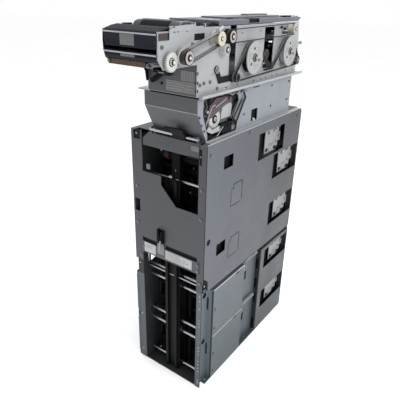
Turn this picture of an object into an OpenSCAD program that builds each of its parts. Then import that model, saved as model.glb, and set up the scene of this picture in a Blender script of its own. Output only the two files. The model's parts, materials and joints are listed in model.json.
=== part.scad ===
// Banknote dispenser: cassette tower, note transport and presenter.
// X runs across the machine, towards the side with the belts and gears.
// -Y is the front, where the presenter nose stands out, and Z is up.
// The origin is the centre of the tower's footprint, on the floor.
// Inside every module, y is counted backwards from the tower's front face.

/* [Tower] */
// Depth of the tower from its front face to its open back
tower_d = 477; // [474:1:480]
// Height of the tower's roof above the floor
tower_h = 700; // [698:1:702]
// Distance from one cassette bay to the next
bay_pitch = 150; // [149:1:150]
// Thickness of the folded steel sheets
sheet = 1.5; // [1.2:0.1:1.6]
// Radius of the steel cross shafts in the bays
shaft_r = 4; // [3.5:0.1:4.2]

/* [Presenter] */
// Top of the flange plate that the presenter stands on
flange_top = 803; // [802.5:0.5:803.5]
// Upper edge of the presenter's side plates
plate_top = 933; // [931:1:934]
// How far the nose stands in front of the tower
nose_reach = 140; // [139:1:141]

/* [Drive] */
// Radius of the two big toothed-belt pulleys' rims
big_pulley_r = 36; // [34:0.5:36]
// Radius that the belt runs on in the big pulleys
big_seat_r = 33; // [31:0.5:33]
// Teeth of the nose gear
nose_teeth = 34; // [34:1:34]
// Teeth of the gear beside the belt pulley
pulley_teeth = 32; // [32:1:32]
// Thickness of the belts
belt_t = 1.6; // [1.2:0.1:1.8]

/* [Hidden] */
$fn = 48;

front_y = -tower_d / 2;
gap = 0.3;          // between a belt and the pulley it runs on
run = 0.05;         // radial clearance of a shaft in its bearing hole
side_x = 110;       // inner face of the upper side panels
inner_right = 90;   // inner plates that the cross shafts run in
inner_left = -85;
inner_t = 2;
bays = 4;
tower_back = tower_d;
shaft_y = 35;       // cross shafts, behind the front face
feed_rise = 134;    // feed shaft above the floor of its bay
tie_rise = 19;      // tie rod above the floor of its bay
shelf_front = 70;
wall_x = 97;        // outer face of the set-back wall beside the lower bays

// Windows in the right side: [y from, y to, z from, z to]
reject_window = [230, 374, 602, 674];
upper_windows = [[322, 472, 524, 596], [322, 472, 377, 449]];
lower_windows = [[322, 472, 76, 141], [322, 472, 227, 292]];

// Note transport between the tower and the presenter
unit_left = -46;
unit_right = 97;
unit_back = 415;
unit_bottom = tower_h;
flange_bottom = flange_top - 3;
fold_z = 768;

// Presenter plates
plate_right = unit_right;
plate_left = -33;
box_front = -20;

// Pulley centres as [y, z] and the radius that the belt runs on
nose_gear_c = [-108.6, 879.4];
gear_pulley_c = [-76.1, 885.1];
cream_idler_c = [28.6, 912.3];
drive_c = [72.6, 913.8];
rear_idler_c = [369.8, 917.5];
front_big_c = [176, 864];
rear_big_c = [356.5, 864.6];
lower_idler_c = [107.7, 827.6];
middle_idler_c = [268, 838];
back_roller_c = [409.4, 838.8];
press_roller_c = [62, 889];
small_seat_r = 11;
drive_seat_r = 12;
low_seat_r = 7.5;
gear_x = 98;
gear_w = 6;

latch_z = tower_h + 8;
latch_shaft_r = 3.2;
motor_r = 14;

// ---- helpers -------------------------------------------------------------

module at_front() {
    translate([0, front_y, 0]) children();
}

// Box from its lowest to its highest corner
module block(low, high) {
    translate(low) cube(high - low);
}

// Plate in a plane across X, drawn in Y and Z
module plate_x(x, thick) {
    translate([x, 0, 0]) rotate([90, 0, 90]) linear_extrude(thick) children();
}

// Plate in a plane across Y, drawn in X and Z
module plate_y(y, thick) {
    translate([0, y + thick, 0]) rotate([90, 0, 0]) linear_extrude(thick) children();
}

// Round bar along X
module rod_x(x_from, x_to, y, z, r) {
    translate([x_from, y, z]) rotate([0, 90, 0]) cylinder(h = x_to - x_from, r = r);
}

// Rectangle by its edges
module rect(low_a, high_a, low_b, high_b) {
    translate([low_a, low_b]) square([high_a - low_a, high_b - low_b]);
}

module window(w) {
    rect(w[0], w[1], w[2], w[3]);
}

module dot(a, b, r) {
    translate([a, b]) circle(r);
}

// Outline of a knock-out that is still held by its four corners
module knock_out(y, z) {
    wide = 52;
    tall = 58;
    step = 12;
    slit = 1.4;
    rect(y, y + wide - 6, z, z + slit);
    rect(y + step, y + wide - 4, z + tall - slit, z + tall);
    rect(y, y + slit, z + 4, z + tall - step - 4);
    rect(y + wide - slit, y + wide, z + 4, z + tall - 2);
    rect(y, y + step - 2, z + tall - step, z + tall - step + slit);
}

// Straight-sided gear teeth of a given module, drawn round the origin
module gear_outline(teeth, size) {
    pitch_r = teeth * size / 2;
    root_r = pitch_r - 1.2 * size;
    tip_r = pitch_r + 0.9 * size;
    circle(root_r);
    for (i = [0 : teeth - 1]) {
        rotate(i * 360 / teeth)
            polygon([
                [root_r - 0.3, -0.86 * size],
                [tip_r, -0.28 * size],
                [tip_r, 0.28 * size],
                [root_r - 0.3, 0.86 * size]
            ]);
    }
}

// ---- belts: a closed band round wheels, drawn in Y and Z -------------------

// A wheel is [centre, radius]; the radius is negative for a wheel outside the loop
function run_angle(a, b) =
    let (d = b[0] - a[0], dist = norm(d))
    atan2(d[1], d[0]) - acos((a[1] - b[1]) / dist);
function on_wheel(wheel, angle, extra) =
    wheel[0] + (wheel[1] + extra) * [cos(angle), sin(angle)];

// Area inside a belt, at a distance from the surface that it runs on.
// The straight runs meet each wheel a hair inside its circle, so that they cross it.
run_dip = 0.02;

module loop_area(wheels, extra) {
    n = len(wheels);
    difference() {
        union() {
            polygon([
                for (i = [0 : n - 1], end = [0, 1])
                    let (here = wheels[i], next = wheels[(i + 1) % n])
                    let (w = end == 0 ? here : next)
                    on_wheel(w, run_angle(here, next), extra - sign(w[1]) * run_dip)
            ]);
            for (w = wheels)
                if (w[1] > 0) translate(w[0]) circle(w[1] + extra);
        }
        for (w = wheels)
            if (w[1] < 0) translate(w[0]) circle(-w[1] - extra);
    }
}

module belt_outline(wheels, thick) {
    difference() {
        loop_area(wheels, thick);
        loop_area(wheels, 0);
    }
}

module belt(x, width, wheels) {
    plate_x(x, width) belt_outline(wheels, belt_t);
}

// Round wheel on its own shaft: stacked discs [x from, x to, radius]
module wheel(centre, discs) {
    for (d = discs)
        rod_x(d[0], d[1], centre[0], centre[1], d[2]);
}

// ---- tower -----------------------------------------------------------------

base_bolt_x = 80;
base_bolt_y = [tower_d / 2 - 180, tower_d / 2 + 180];
base_bolt_r = 3.3;

module base_plate() {
    color("#4c5358") at_front() difference() {
        block([-104, sheet, 0], [inner_right + inner_t, tower_back - sheet, 3]);
        for (x = [-base_bolt_x, base_bolt_x], y = base_bolt_y)
            translate([x, y, -1]) cylinder(h = 5, r = base_bolt_r);
    }
}

module bay_shelves() {
    color("#33383c") at_front()
    for (k = [1 : bays]) {
        z = k * bay_pitch;
        block([inner_left, shelf_front, z - 1], [inner_right, tower_back - 6, z + 1]);
        block([inner_left, shelf_front, z - 6], [inner_right, shelf_front + 2, z - 1]);
        block([inner_left, tower_back - 8, z - 6], [inner_right, tower_back - 6, z - 1]);
    }
}

side_screws = [[16, 674], [452, 680], [180, 690]];
corner_notch = 20;  // cut-out at the foot of the right side panel's front edge
return_x = 94;      // inner edge of the flanges at the open back

module side_sheet_outline(low) {
    corner = 14;
    difference() {
        rect(0, tower_back, low, tower_h);
        rect(tower_back - corner, tower_back + 1, tower_h - corner, tower_h + 1);
    }
    dot(tower_back - corner, tower_h - corner, corner);
}

module right_side_panel() {
    color("#80868e") at_front() {
        plate_x(side_x, sheet) difference() {
            side_sheet_outline(316);
            window(reject_window);
            for (w = upper_windows) window(w);
            rect(-1, corner_notch, 315, 346);
            rect(68, 108, 626, 657);
            rect(51, 91, 403, 435);
            dot(15.5, 458, 8);
            for (s = side_screws) dot(s[0], s[1], 2);
            knock_out(106, 518);
            knock_out(106, 371);
        }
        block([98, 0, tower_h - sheet], [side_x, tower_back - 14, tower_h]);
        block([return_x, tower_back - sheet, 316], [side_x, tower_back, tower_h - 14]);
    }
}

module left_side_panel() {
    color("#767c84") at_front() {
        plate_x(-side_x - sheet, sheet) difference() {
            side_sheet_outline(342);
            for (s = side_screws) dot(s[0], s[1], 2);
            knock_out(106, 518);
            knock_out(106, 371);
        }
        block([-side_x, 0, tower_h - sheet], [-98, tower_back - 14, tower_h]);
        block([-side_x, tower_back - sheet, 342], [inner_left - 4, tower_back, tower_h - 14]);
    }
}

strip_edge = 108;   // outer edge of the riveted strip beside the bays
front_screws = [[-97, 555], [-99, 454], [99, 521], [99, 594], [-90, 356], [99, 345]];

module front_panel() {
    color("#5d636a") at_front() plate_y(0, sheet) difference() {
        polygon([
            [-side_x, 342], [inner_left, 342], [inner_left, 415], [-34, 415], [-34, 405],
            [-8, 405], [-8, 415], [inner_right, 415], [inner_right, 316],
            [strip_edge, 316], [strip_edge, 346], [side_x, 346], [side_x, tower_h - sheet],
            [-side_x, tower_h - sheet]
        ]);
        polygon([
            [-78, 667], [-78, 599], [-20, 599], [-20, 576], [25, 531],
            [inner_right, 531], [inner_right, tower_h], [-78, tower_h]
        ]);
        rect(-107, -90, 486, 520);
        rect(-104, -82, 677, tower_h);
        for (s = front_screws) dot(s[0], s[1], 2);
        rect(-30, -12, 420, 455);
    }
}

module roof_plate() {
    color("#7b8188") at_front() difference() {
        block([-98, 14, tower_h - sheet], [98, tower_back - sheet, tower_h]);
        block([-30, 60, tower_h - 5], [80, 90, tower_h + 5]);
    }
}

module top_cross_bar() {
    color("#8d939a") at_front() {
        plate_y(-2, 2) polygon([
            [-72, 667], [inner_right, 667], [inner_right, tower_h], [-54, tower_h], [-72, 684]
        ]);
        block([-54, 0, tower_h - sheet], [inner_right, 14, tower_h]);
        for (x = [-46, 84]) {
            plate_x(x, 2) difference() {
                rect(-2, 6, tower_h, latch_z + 7);
                dot(0, latch_z, latch_shaft_r + run);
            }
        }
    }
}

label_screws = [[-82, 388], [93, 379], [93, 396]];

module label_bar() {
    color("#82888e") at_front() plate_y(-sheet, sheet) difference() {
        rect(-86, 97, 371, 404);
        for (s = label_screws) dot(s[0], s[1], 2);
    }
}

module labels() {
    bar_face = -sheet - 0.3;
    box_face = box_front - 0.3;
    color("#c9ccce") at_front() {
        block([-78, bar_face, 375], [-40, -sheet, 402]);
        block([-7, bar_face, 376], [76, -sheet, 401]);
        block([55, box_face, 832], [89, box_front, 851]);
        block([16, box_face, 808], [90, box_front, 829]);
        translate([9, -2, 682]) rotate([90, 0, 0]) cylinder(h = 0.4, r = 6);
    }
}

// Open clip with a V mouth, and the earth wire that it holds
module cable_clip() {
    color("#17181a") at_front() {
        plate_y(-6, 6) polygon([
            [-31, 419], [-11, 419], [-11, 456], [-15, 456], [-21, 428], [-27, 456], [-31, 456]
        ]);
        translate([-20.5, -9.2, 400]) rotate([0, 6, 0]) cylinder(h = 34, r = 1.6);
    }
}

module release_latch() {
    color("#17181a") at_front() {
        plate_x(20, 34) difference() {
            union() {
                dot(0, latch_z, 6.2);
                polygon([[-6, latch_z], [-3, latch_z + 5], [-10, latch_z + 19],
                         [-14, latch_z + 18]]);
            }
            dot(0, latch_z, latch_shaft_r + run);
        }
        block([2, -14, latch_z + 15], [20, -9, latch_z + 18]);
    }
}

// Side plate of the bays; drawn once and cut for both sides
module inner_outline() {
    difference() {
        rect(sheet, tower_back - 7, 3, 690);
        for (k = [0 : bays - 1]) {
            floor_z = k * bay_pitch;
            dot(shaft_y, floor_z + feed_rise, shaft_r + run);
            dot(shaft_y, floor_z + tie_rise, shaft_r + run);
        }
    }
}

module right_inner_plate() {
    color("#26292c") at_front() plate_x(inner_right, inner_t) inner_outline();
}

module left_inner_plate() {
    color("#3c4246") at_front() {
        plate_x(inner_left - inner_t, inner_t) difference() {
            inner_outline();
            polygon([[20, 354], [30, 352], [58, 331], [34, 325], [22, 325]]);
        }
        block([-104, 0, 297], [inner_left, sheet, 342]);
    }
}

// Side cover of one bay's front half: riveted strip, set-back wall and raised pocket
module front_side_cover(k) {
    top_bay = k == bays / 2;
    low = (k - 1) * bay_pitch + (k == 1 ? 0 : 0.5);
    high = top_bay ? 301 : k * bay_pitch - 0.5;
    strip_top = top_bay ? 315.5 : high;
    wall_top = top_bay ? 340 : high;
    raised = side_x + sheet;
    ledge = 108;
    wall_back = 298;
    pocket = [42, 50, 204, 211];
    color("#868c93") at_front() {
        block([inner_right + inner_t, 0, low], [strip_edge, sheet, strip_top]);
        difference() {
            union() {
                plate_x(wall_x - sheet, sheet) {
                    rect(sheet - 0.1, pocket[0], low, strip_top);
                    rect(sheet + 0.5, pocket[0], strip_top - 1, wall_top);
                    rect(pocket[0] - 0.1, pocket[3], low, low + 6);
                    rect(pocket[0] - 0.1, pocket[3], high - 6, high);
                    rect(pocket[3] - 0.1, wall_back, low, high);
                }
                translate([0, 0, low]) linear_extrude(high - low) polygon([
                    [wall_x - sheet, pocket[0] - 1], [wall_x, pocket[0] - 1],
                    [raised, pocket[1]], [raised, pocket[2]], [wall_x, pocket[3]],
                    [wall_x - sheet, pocket[3]], [wall_x - sheet, pocket[3] - sheet],
                    [raised - sheet, pocket[2] - 0.7], [raised - sheet, pocket[1] + 0.7],
                    [wall_x - sheet, pocket[0] + 0.7]
                ]);
                translate([0, 0, high - sheet]) linear_extrude(sheet) polygon([
                    [wall_x, pocket[0]], [raised - 1, pocket[1]],
                    [raised - 1, pocket[2]], [wall_x, pocket[3]]
                ]);
                block([wall_x - 0.1, pocket[3] + 2, high - sheet], [ledge, 285, high]);
                if (k == 1) block([wall_x - 0.1, 21, 0], [raised, wall_back, 2]);
            }
            // slot in the pocket's front wall, and the slot behind the pocket
            block([wall_x - 3, 40, high - 62], [wall_x + 3, 46, high - 22]);
            block([wall_x - 3, 232, high - 71], [wall_x + 1, 240, high - 44]);
            // hole beside the feed shaft's end, and the seam above the upper cover
            rod_x(wall_x - 3, wall_x + 1, 28, high - 10, 8);
            if (top_bay) block([wall_x - 3, 8, high + 1], [wall_x + 1, 60, high + 2.5]);
            if (k == 1) for (p = [[102, 33], [101, 251]])
                translate([p[0], p[1], -1]) cylinder(h = 4, r = 2.2);
        }
    }
}

module rear_side_cover(k) {
    low = (k - 1) * bay_pitch + (k == 1 ? 0 : 0.5);
    high = k * bay_pitch + (k == bays / 2 ? 3 : -0.5);
    color("#7c8289") at_front() {
        plate_x(side_x, sheet) difference() {
            rect(300, tower_back, low, high);
            window(lower_windows[k - 1]);
        }
        block([return_x, 300, low + 3], [side_x, 300 + sheet, high]);
        block([return_x, tower_back - sheet, low + 3], [side_x, tower_back, high]);
    }
}

module left_lower_panel() {
    outer = -113;
    color("#646a70") at_front() {
        plate_x(outer, sheet) rect(sheet, tower_back, 0, 297);
        plate_y(0, sheet) polygon([
            [inner_left, 3], [-106, 3], [outer, 20], [outer, 140], [-106, 151], [-106, 159],
            [outer, 171], [outer, 285], [-107, 297], [inner_left, 297]
        ]);
        block([outer + sheet, tower_back - sheet, 3], [-100, tower_back, 297]);
    }
}

guide_left = -26;
guide_right = 22;
column_top = 590;

// Note column: front and rear channel, open between them for the notes
module column_guides() {
    color("#141517") at_front() {
        block([guide_left, 20, 3], [guide_right, 23, column_top]);
        for (x = [guide_left + 5, guide_right - 13])
            block([x, 13, 3], [x + 8, 20, column_top]);
        block([guide_left, 47, 3], [guide_right, 50, column_top]);
        for (x = [guide_left, guide_right - 3])
            block([x, 50, 3], [x + 3, 60, column_top]);
    }
}

belt_x = -101;      // belt that joins the feed shafts, on the left of the bays
belt_w = 5.6;

module feed_shaft(k) {
    z = (k - 1) * bay_pitch + feed_rise;
    color("#c4c8cc") at_front() {
        rod_x(belt_x - 4, inner_right + inner_t + 2.5, shaft_y, z, shaft_r);
        for (x = [-18, 4])
            rod_x(x, x + 11, shaft_y, z, 10.5);
        for (x = [belt_x - 1.4, belt_x + belt_w + 0.4])
            rod_x(x, x + 1, shaft_y, z, 9.5);
    }
}

module tower_belt() {
    low_z = feed_rise;
    high_z = (bays - 1) * bay_pitch + feed_rise;
    color("#1d1e20") at_front()
        belt(belt_x, belt_w, [
            [[shaft_y, low_z], shaft_r + gap], [[shaft_y, high_z], shaft_r + gap]
        ]);
}

// Fixed bright rods: one across each bay, and the latch's rod on the roof
module cross_rods() {
    color("#c8ccd0") at_front() {
        for (k = [0 : bays - 1])
            rod_x(inner_left - 3, inner_right + 3, shaft_y, k * bay_pitch + tie_rise, shaft_r);
        rod_x(-50, 88, 0, latch_z, latch_shaft_r);
    }
}

// Board behind each window of the right side, on two standoffs
module sensor_plate(y, z, tall) {
    plate_face = 100;
    wide = 88;
    plate_x(plate_face - 2, 2) difference() {
        rect(y, y + wide, z, z + tall);
        rect(y + wide - 14, y + wide + 1, z - 1, z + 22);
        rect(y + wide - 26, y + wide - 13, z - 1, z + 9);
    }
    for (p = [[18, 12], [wide - 20, tall - 16]])
        rod_x(inner_right + inner_t, plate_face - 2, y + p[0], z + p[1], 4);
    for (p = [[wide - 12, 38], [wide - 26, 24], [wide - 40, tall - 12]])
        rod_x(plate_face, plate_face + 4, y + p[0], z + p[1], 3);
}

module sensor_plates() {
    color("#c3c6c9") at_front() {
        sensor_plate(284, 604, 70);
        for (w = concat(upper_windows, lower_windows))
            sensor_plate(375, w[2] + 1, w[3] - w[2] - 1);
    }
}

// Screw with a low round head: shank in the sheet, head on the face
module screw_x(x, y, z, way) {
    rod_x(way > 0 ? x - sheet : x, way > 0 ? x : x + sheet, y, z, 2 - run);
    rod_x(way > 0 ? x : x - 2, way > 0 ? x + 2 : x, y, z, 3.6);
}

module screw_y(x, y, z) {
    translate([x, y, z]) rotate([90, 0, 0]) cylinder(h = 2, r = 3.6);
    translate([x, y, z]) rotate([-90, 0, 0]) cylinder(h = sheet, r = 2 - run);
}

module screws() {
    color("#b9bdc1") at_front() {
        for (s = front_screws) screw_y(s[0], 0, s[1]);
        for (s = side_screws) {
            screw_x(side_x + sheet, s[0], s[1], 1);
            screw_x(-side_x - sheet, s[0], s[1], -1);
        }
        for (s = label_screws)
            translate([s[0], -sheet, s[1]]) rotate([90, 0, 0]) cylinder(h = 2, r = 3.4);
        for (s = plate_screws) screw_x(plate_right, s[0], s[1], 1);
    }
}

// ---- note transport ----------------------------------------------------------

lean_bottom = [12, 705];
gate_pivot = [112, 779];
gate_gear_c = [66, 740];

// Outline of the unit's sides: upright above the fold, leaning back below it
module unit_side() {
    polygon([
        [box_front + sheet, flange_bottom], [box_front + sheet, fold_z + 0.4],
        [lean_bottom[0] + sheet, lean_bottom[1] + 0.4],
        [lean_bottom[0] + sheet, unit_bottom],
        [unit_back - sheet, unit_bottom], [unit_back - sheet, flange_bottom]
    ]);
}

module transport_front_plate() {
    color("#6a7076") at_front()
        plate_x(unit_left, unit_right - unit_left) polygon([
            [box_front, flange_bottom], [box_front, fold_z],
            lean_bottom, [lean_bottom[0], unit_bottom],
            [lean_bottom[0] + sheet, unit_bottom],
            [lean_bottom[0] + sheet, lean_bottom[1] + 0.4],
            [box_front + sheet, fold_z + 0.4], [box_front + sheet, flange_bottom]
        ]);
}

module transport_right_plate() {
    color("#8c9298") at_front() plate_x(unit_right - sheet, sheet) difference() {
        unit_side();
        polygon([[2, 795], [0, 762], [18, 716], [18, 703], [136, 703], [140, 722], [176, 774],
                 [162, 795]]);
        rect(204, 234, 710, 739);
        rect(206, 236, 791, 793);
        for (p = [[303, 785], [303, 732], [399, 783], [399, 735]])
            dot(p[0], p[1], 3);
    }
}

module transport_left_plate() {
    color("#7d8389") at_front() {
        plate_x(unit_left, sheet) difference() {
            unit_side();
            rect(204, 234, 710, 739);
            dot(gate_gear_c[0], gate_gear_c[1], 3 + run);
        }
        block([unit_left + sheet, unit_back - sheet, unit_bottom],
              [unit_right, unit_back, flange_bottom]);
        // bearing arm for the gate gear and pivot of the gate arm
        plate_x(70, sheet) difference() {
            polygon([[16, 722], [200, 722], [200, 792], [16, 792]]);
            dot(gate_gear_c[0], gate_gear_c[1], 3 + run);
            dot(gate_pivot[0], gate_pivot[1], 3 + run);
        }
        block([70 + sheet, 180, 722], [unit_right - sheet, 180 + sheet, 792]);
    }
}

module gate_arm() {
    color("#5a4652") at_front() {
        plate_x(86, 3) polygon([
            [26, 745], [36, 774], [60, 788], [118, 788], [126, 774], [92, 766], [46, 748]
        ]);
        rod_x(66, 92, gate_pivot[0], gate_pivot[1], 3);
    }
}

module gate_gear() {
    color("#e4e2da") at_front() {
        plate_x(76, 6) translate(gate_gear_c) gear_outline(44, 1);
        wheel(gate_gear_c, [[unit_left - 4, 92, 3], [82, 85, 5]]);
    }
}

// Slanted tension spring between two pegs on the unit's bearing arm
module gate_spring() {
    color("#8a8d90") at_front() {
        translate([80, 138, 728]) rotate([-36, 0, 0]) cylinder(h = 44, r = 3);
        for (p = [[138, 728], [163.9, 763.6]])
            rod_x(71.5, 84, p[0], p[1], 2);
    }
}

module transport_motor() {
    color("#1d1e20") at_front() {
        rod_x(30, 69.5, 108, 716, motor_r);
        rod_x(69.5, 80, 108, 716, 5);
    }
}

// ---- presenter -----------------------------------------------------------------

module base_flange() {
    color("#9aa0a6") at_front() {
        difference() {
            block([-63, box_front, flange_bottom], [108, 451, flange_top]);
            for (y = [60, 104, 150, 206, 262, 318, 374])
                translate([102, y, flange_bottom - 1]) cylinder(h = 6, r = 2);
            for (y = [190, 300])
                block([60, y, flange_bottom - 1], [76, y + 40, flange_top + 1]);
        }
        block([108, box_front, flange_bottom], [108 + sheet, 451, flange_top + 3]);
    }
}

module presenter_front_plate() {
    color("#70767c") at_front() plate_y(box_front, sheet) difference() {
        rect(plate_left, plate_right - sheet, flange_top, 865);
        dot(4, 820, 3);
    }
}

shaft_holes = [
    nose_gear_c, gear_pulley_c, cream_idler_c, drive_c, front_big_c, rear_big_c,
    rear_idler_c, back_roller_c, press_roller_c
];

module bearing_holes(r) {
    for (c = shaft_holes) dot(c[0], c[1], r + run);
}

module presenter_left_plate() {
    color("#9aa0a6") at_front() {
        plate_x(plate_left - sheet, sheet) difference() {
            polygon([
                [cheek_back, 870], [cheek_back, plate_top], [424, plate_top], [436, 870],
                [430, flange_top], [box_front, flange_top], [box_front, 866]
            ]);
            bearing_holes(3);
        }
        block([plate_left - 0.1, -26, plate_top - sheet], [plate_right - sheet, 46, plate_top]);
    }
}

plate_screws = [[-128, 905], [-14, 826], [0, 828], [22, 828], [48, 812], [-40, 905]];

module presenter_right_plate() {
    color("#a3a8ad") at_front() plate_x(plate_right - sheet, sheet) difference() {
        polygon([
            [-139, 884], [-139, 914], [-108, 914], [-108, plate_top], [91, plate_top],
            [91, 831], [62, 831], [58, 820.5], [95.4, 820.5], [75.4, flange_top],
            [box_front - 3, flange_top],
            [box_front - 3, 866], [-60, 866], [-124, 866]
        ]);
        rect(-34, 0, 911, 923);
        bearing_holes(3);
        for (s = plate_screws) dot(s[0], s[1], 2);
    }
}

module presenter_rear_plate() {
    color("#9da2a8") at_front() plate_x(plate_right - sheet, sheet) difference() {
        polygon([
            [76, flange_top], [116, 838], [116, plate_top], [424, plate_top], [436, 870],
            [430, flange_top]
        ]);
        rect(242, 290, 832, 925);
        rect(330, 364, 906, 914);
        bearing_holes(3);
        dot(lower_idler_c[0], lower_idler_c[1], 11);
        dot(middle_idler_c[0], middle_idler_c[1], 3 + run);
    }
}

slot_low = 896;
slot_high = 905;
shell_back = -26;
lip_low = 877;      // underside of the nose's lip, where the copper strip hangs
cheek_back = -100;  // where the left plate meets the nose's cheek

// Dark plates above and below the notes
module note_guides() {
    left = plate_left;
    right = plate_right - sheet;
    back = 424;
    color("#141517") at_front()
        for (z = [slot_low - 3, slot_high + 1])
            block([left, shell_back + 0.5, z], [right, back, z + 2]);
}

module nose_upper_shell() {
    front = -nose_reach;
    color("#15171b") at_front() {
        plate_x(plate_left, plate_right - sheet - plate_left) polygon([
            [front, slot_high + 1], [front, 927], [front + 3, 930], [-122, 934],
            [-104, 936.5], [-104, 934], [-121, 931.6], [front + 4, 927.5],
            [front + 2.5, 926], [front + 2.5, slot_high + 3], [shell_back, slot_high + 3],
            [shell_back, slot_high + 1]
        ]);
        // rounded hood across the gap behind the nose, and its foot on the shell
        plate_x(-12, plate_right - sheet + 12) polygon([
            [-84, slot_high + 2], [-84, 934], [-78, 941], [-68, 944], [-48, 944],
            [-38, 940], [-32, 933], [-32, 930], [-80, 930], [-80, slot_high + 2]
        ]);
    }
}

module nose_lower_shell() {
    front = -nose_reach;
    color("#101215") at_front() {
        plate_x(plate_left, plate_right - sheet - plate_left) polygon([
            [shell_back, slot_low - 1], [front + 2, slot_low - 1], [front, slot_low - 3],
            [front, 885], [front + 2.5, 880], [front + 6, lip_low], [front + 13, lip_low],
            [front + 21, 873], [shell_back - 20, 873], [shell_back - 20, 875.5],
            [front + 22, 875.5], [front + 14, lip_low + 2.5], [front + 7, lip_low + 2.5],
            [front + 4.5, 882], [front + 2.5, 886],
            [front + 2.5, slot_low - 3.5], [shell_back, slot_low - 3.5]
        ]);
        // cheek that closes the nose on the left
        plate_x(plate_left - sheet, sheet) difference() {
            polygon([
                [front, 929], [front - 1.4, 910], [front - 1, 893], [front + 3, 879],
                [front + 18, 868], [cheek_back, 868], [cheek_back, 936],
                [-104, 936], [-122, 933.5]
            ]);
            dot(nose_gear_c[0], nose_gear_c[1], 3 + run);
        }
    }
}

module nose_trim() {
    front = -nose_reach;
    color("#c5c8cb") at_front() {
        block([plate_left, front - 1.4, 924.5], [plate_right - sheet, front, 927]);
        block([plate_left, front - 1.4, 890], [plate_right - sheet, front, 892.6]);
        block([plate_right - sheet, front + 1, 914], [plate_right, -108, 930.5]);
    }
}

module copper_strip() {
    color("#7a4b30") at_front()
        block([-30, -nose_reach + 6, lip_low - 9], [64, -nose_reach + 13, lip_low]);
}

// ---- drive wheels -----------------------------------------------------------------

mesh_line = gear_pulley_c - nose_gear_c;
mesh_angle = atan2(mesh_line[1], mesh_line[0]);

module nose_gear() {
    color("#e9e8e2") at_front() {
        plate_x(gear_x, gear_w) translate(nose_gear_c)
            rotate(mesh_angle) gear_outline(nose_teeth, 1);
        wheel(nose_gear_c, [[gear_x + gear_w, gear_x + gear_w + 3, 6.5],
                            [plate_left - 4, gear_x + gear_w + 6, 3]]);
    }
}

module gear_pulley() {
    color("#e6e2d6") at_front() {
        plate_x(gear_x, gear_w) translate(gear_pulley_c)
            rotate(mesh_angle + 180 + 180 / pulley_teeth) gear_outline(pulley_teeth, 1);
        wheel(gear_pulley_c, [[104, 117, small_seat_r], [117, 118.5, 13],
                              [plate_left - 4, 121, 3]]);
    }
}

module cream_idler() {
    color("#d9d2ad") at_front()
        wheel(cream_idler_c, [[98, 99.5, 13.5], [99.5, 117, small_seat_r],
                              [117, 118.5, 13.5], [plate_left - 4, 120, 3]]);
}

// Pale roller below the drive pulley
module press_roller() {
    color("#cfd1cf") at_front()
        wheel(press_roller_c, [[97.5, 110, 11.5], [110, 111, 7], [plate_left - 4, 113, 3]]);
}

module drive_pulley() {
    color("#e3ddca") at_front()
        wheel(drive_c, [[98, 99.5, 14], [99.5, 114, drive_seat_r], [114, 116, 14],
                        [plate_left - 4, 118, 3]]);
}

rim_x = 110.5;      // inner face of the thin rims that keep the lower belt in place

// Flanged belt pulley with three small holes through its face
module big_pulley(centre) {
    hole_ring = 20;
    difference() {
        wheel(centre, [[98.5, rim_x, big_seat_r], [rim_x, 112, big_pulley_r]]);
        for (i = [0 : 2])
            rod_x(97, 113, centre[0] + hole_ring * cos(100 + i * 120),
                  centre[1] + hole_ring * sin(100 + i * 120), 2.6);
    }
    wheel(centre, [[112, 114.5, 7], [plate_left - 4, 117, 3]]);
}

module big_pulley_front() {
    color("#dcdcd8") at_front() big_pulley(front_big_c);
}

module big_pulley_rear() {
    color("#dcdcd8") at_front() big_pulley(rear_big_c);
}

module rear_idler() {
    color("#d6d0a8") at_front()
        wheel(rear_idler_c, [[98, 99.5, 13.5], [99.5, 114, drive_seat_r],
                             [114, 116, 13.5], [plate_left - 4, 118, 3]]);
}

module lower_idler() {
    color("#2a2b2d") at_front() difference() {
        wheel(lower_idler_c, [[100, rim_x, low_seat_r], [rim_x, 112, 10]]);
        rod_x(99, 113, lower_idler_c[0], lower_idler_c[1], 2.5 + run);
    }
}

module middle_idler() {
    color("#a8714c") at_front()
        wheel(middle_idler_c, [[100, rim_x, low_seat_r], [60, 113, 3]]);
}

module back_roller() {
    color("#8f9396") at_front()
        wheel(back_roller_c, [[100, rim_x, 10], [rim_x, 111.5, 11.8],
                              [plate_left - 4, 114, 3]]);
}

// Black hooked bracket that holds the lower idler's pin
module idler_bracket() {
    color("#141517") at_front() {
        plate_x(plate_right + 0.5, 2) difference() {
            union() {
                dot(43.5, 850, 8);
                translate([43.5, 850]) rotate(-62) rect(0, 26, -6, 6);
                translate([55, 828]) rect(-4, 54, -7, 6);
                dot(lower_idler_c[0], lower_idler_c[1], 7.5);
            }
            dot(43.5, 850, 2.4);
        }
        rod_x(plate_right, 100, 43.5, 850, 2.3);
        rod_x(plate_right + 2.5, 114, lower_idler_c[0], lower_idler_c[1], 2.5);
    }
}

module wide_belt() {
    color("#2a2725") at_front()
        belt(105, 11, [[gear_pulley_c, small_seat_r + gap],
                       [cream_idler_c, small_seat_r + gap]]);
}

module long_belt() {
    color("#332c28") at_front()
        belt(107.5, 5, [[drive_c, drive_seat_r + gap], [rear_idler_c, drive_seat_r + gap]]);
}

module lower_belt() {
    outside = -(low_seat_r + gap + belt_t);
    color("#332c28") at_front()
        belt(101, 9, [
            [lower_idler_c, low_seat_r + gap], [back_roller_c, 10 + gap],
            [rear_big_c, big_seat_r + gap], [middle_idler_c, outside],
            [front_big_c, big_seat_r + gap]
        ]);
}

cover_front = 50;
cover_back = 432;
rail_low = plate_top + 1;
rail_high = 943;

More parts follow.
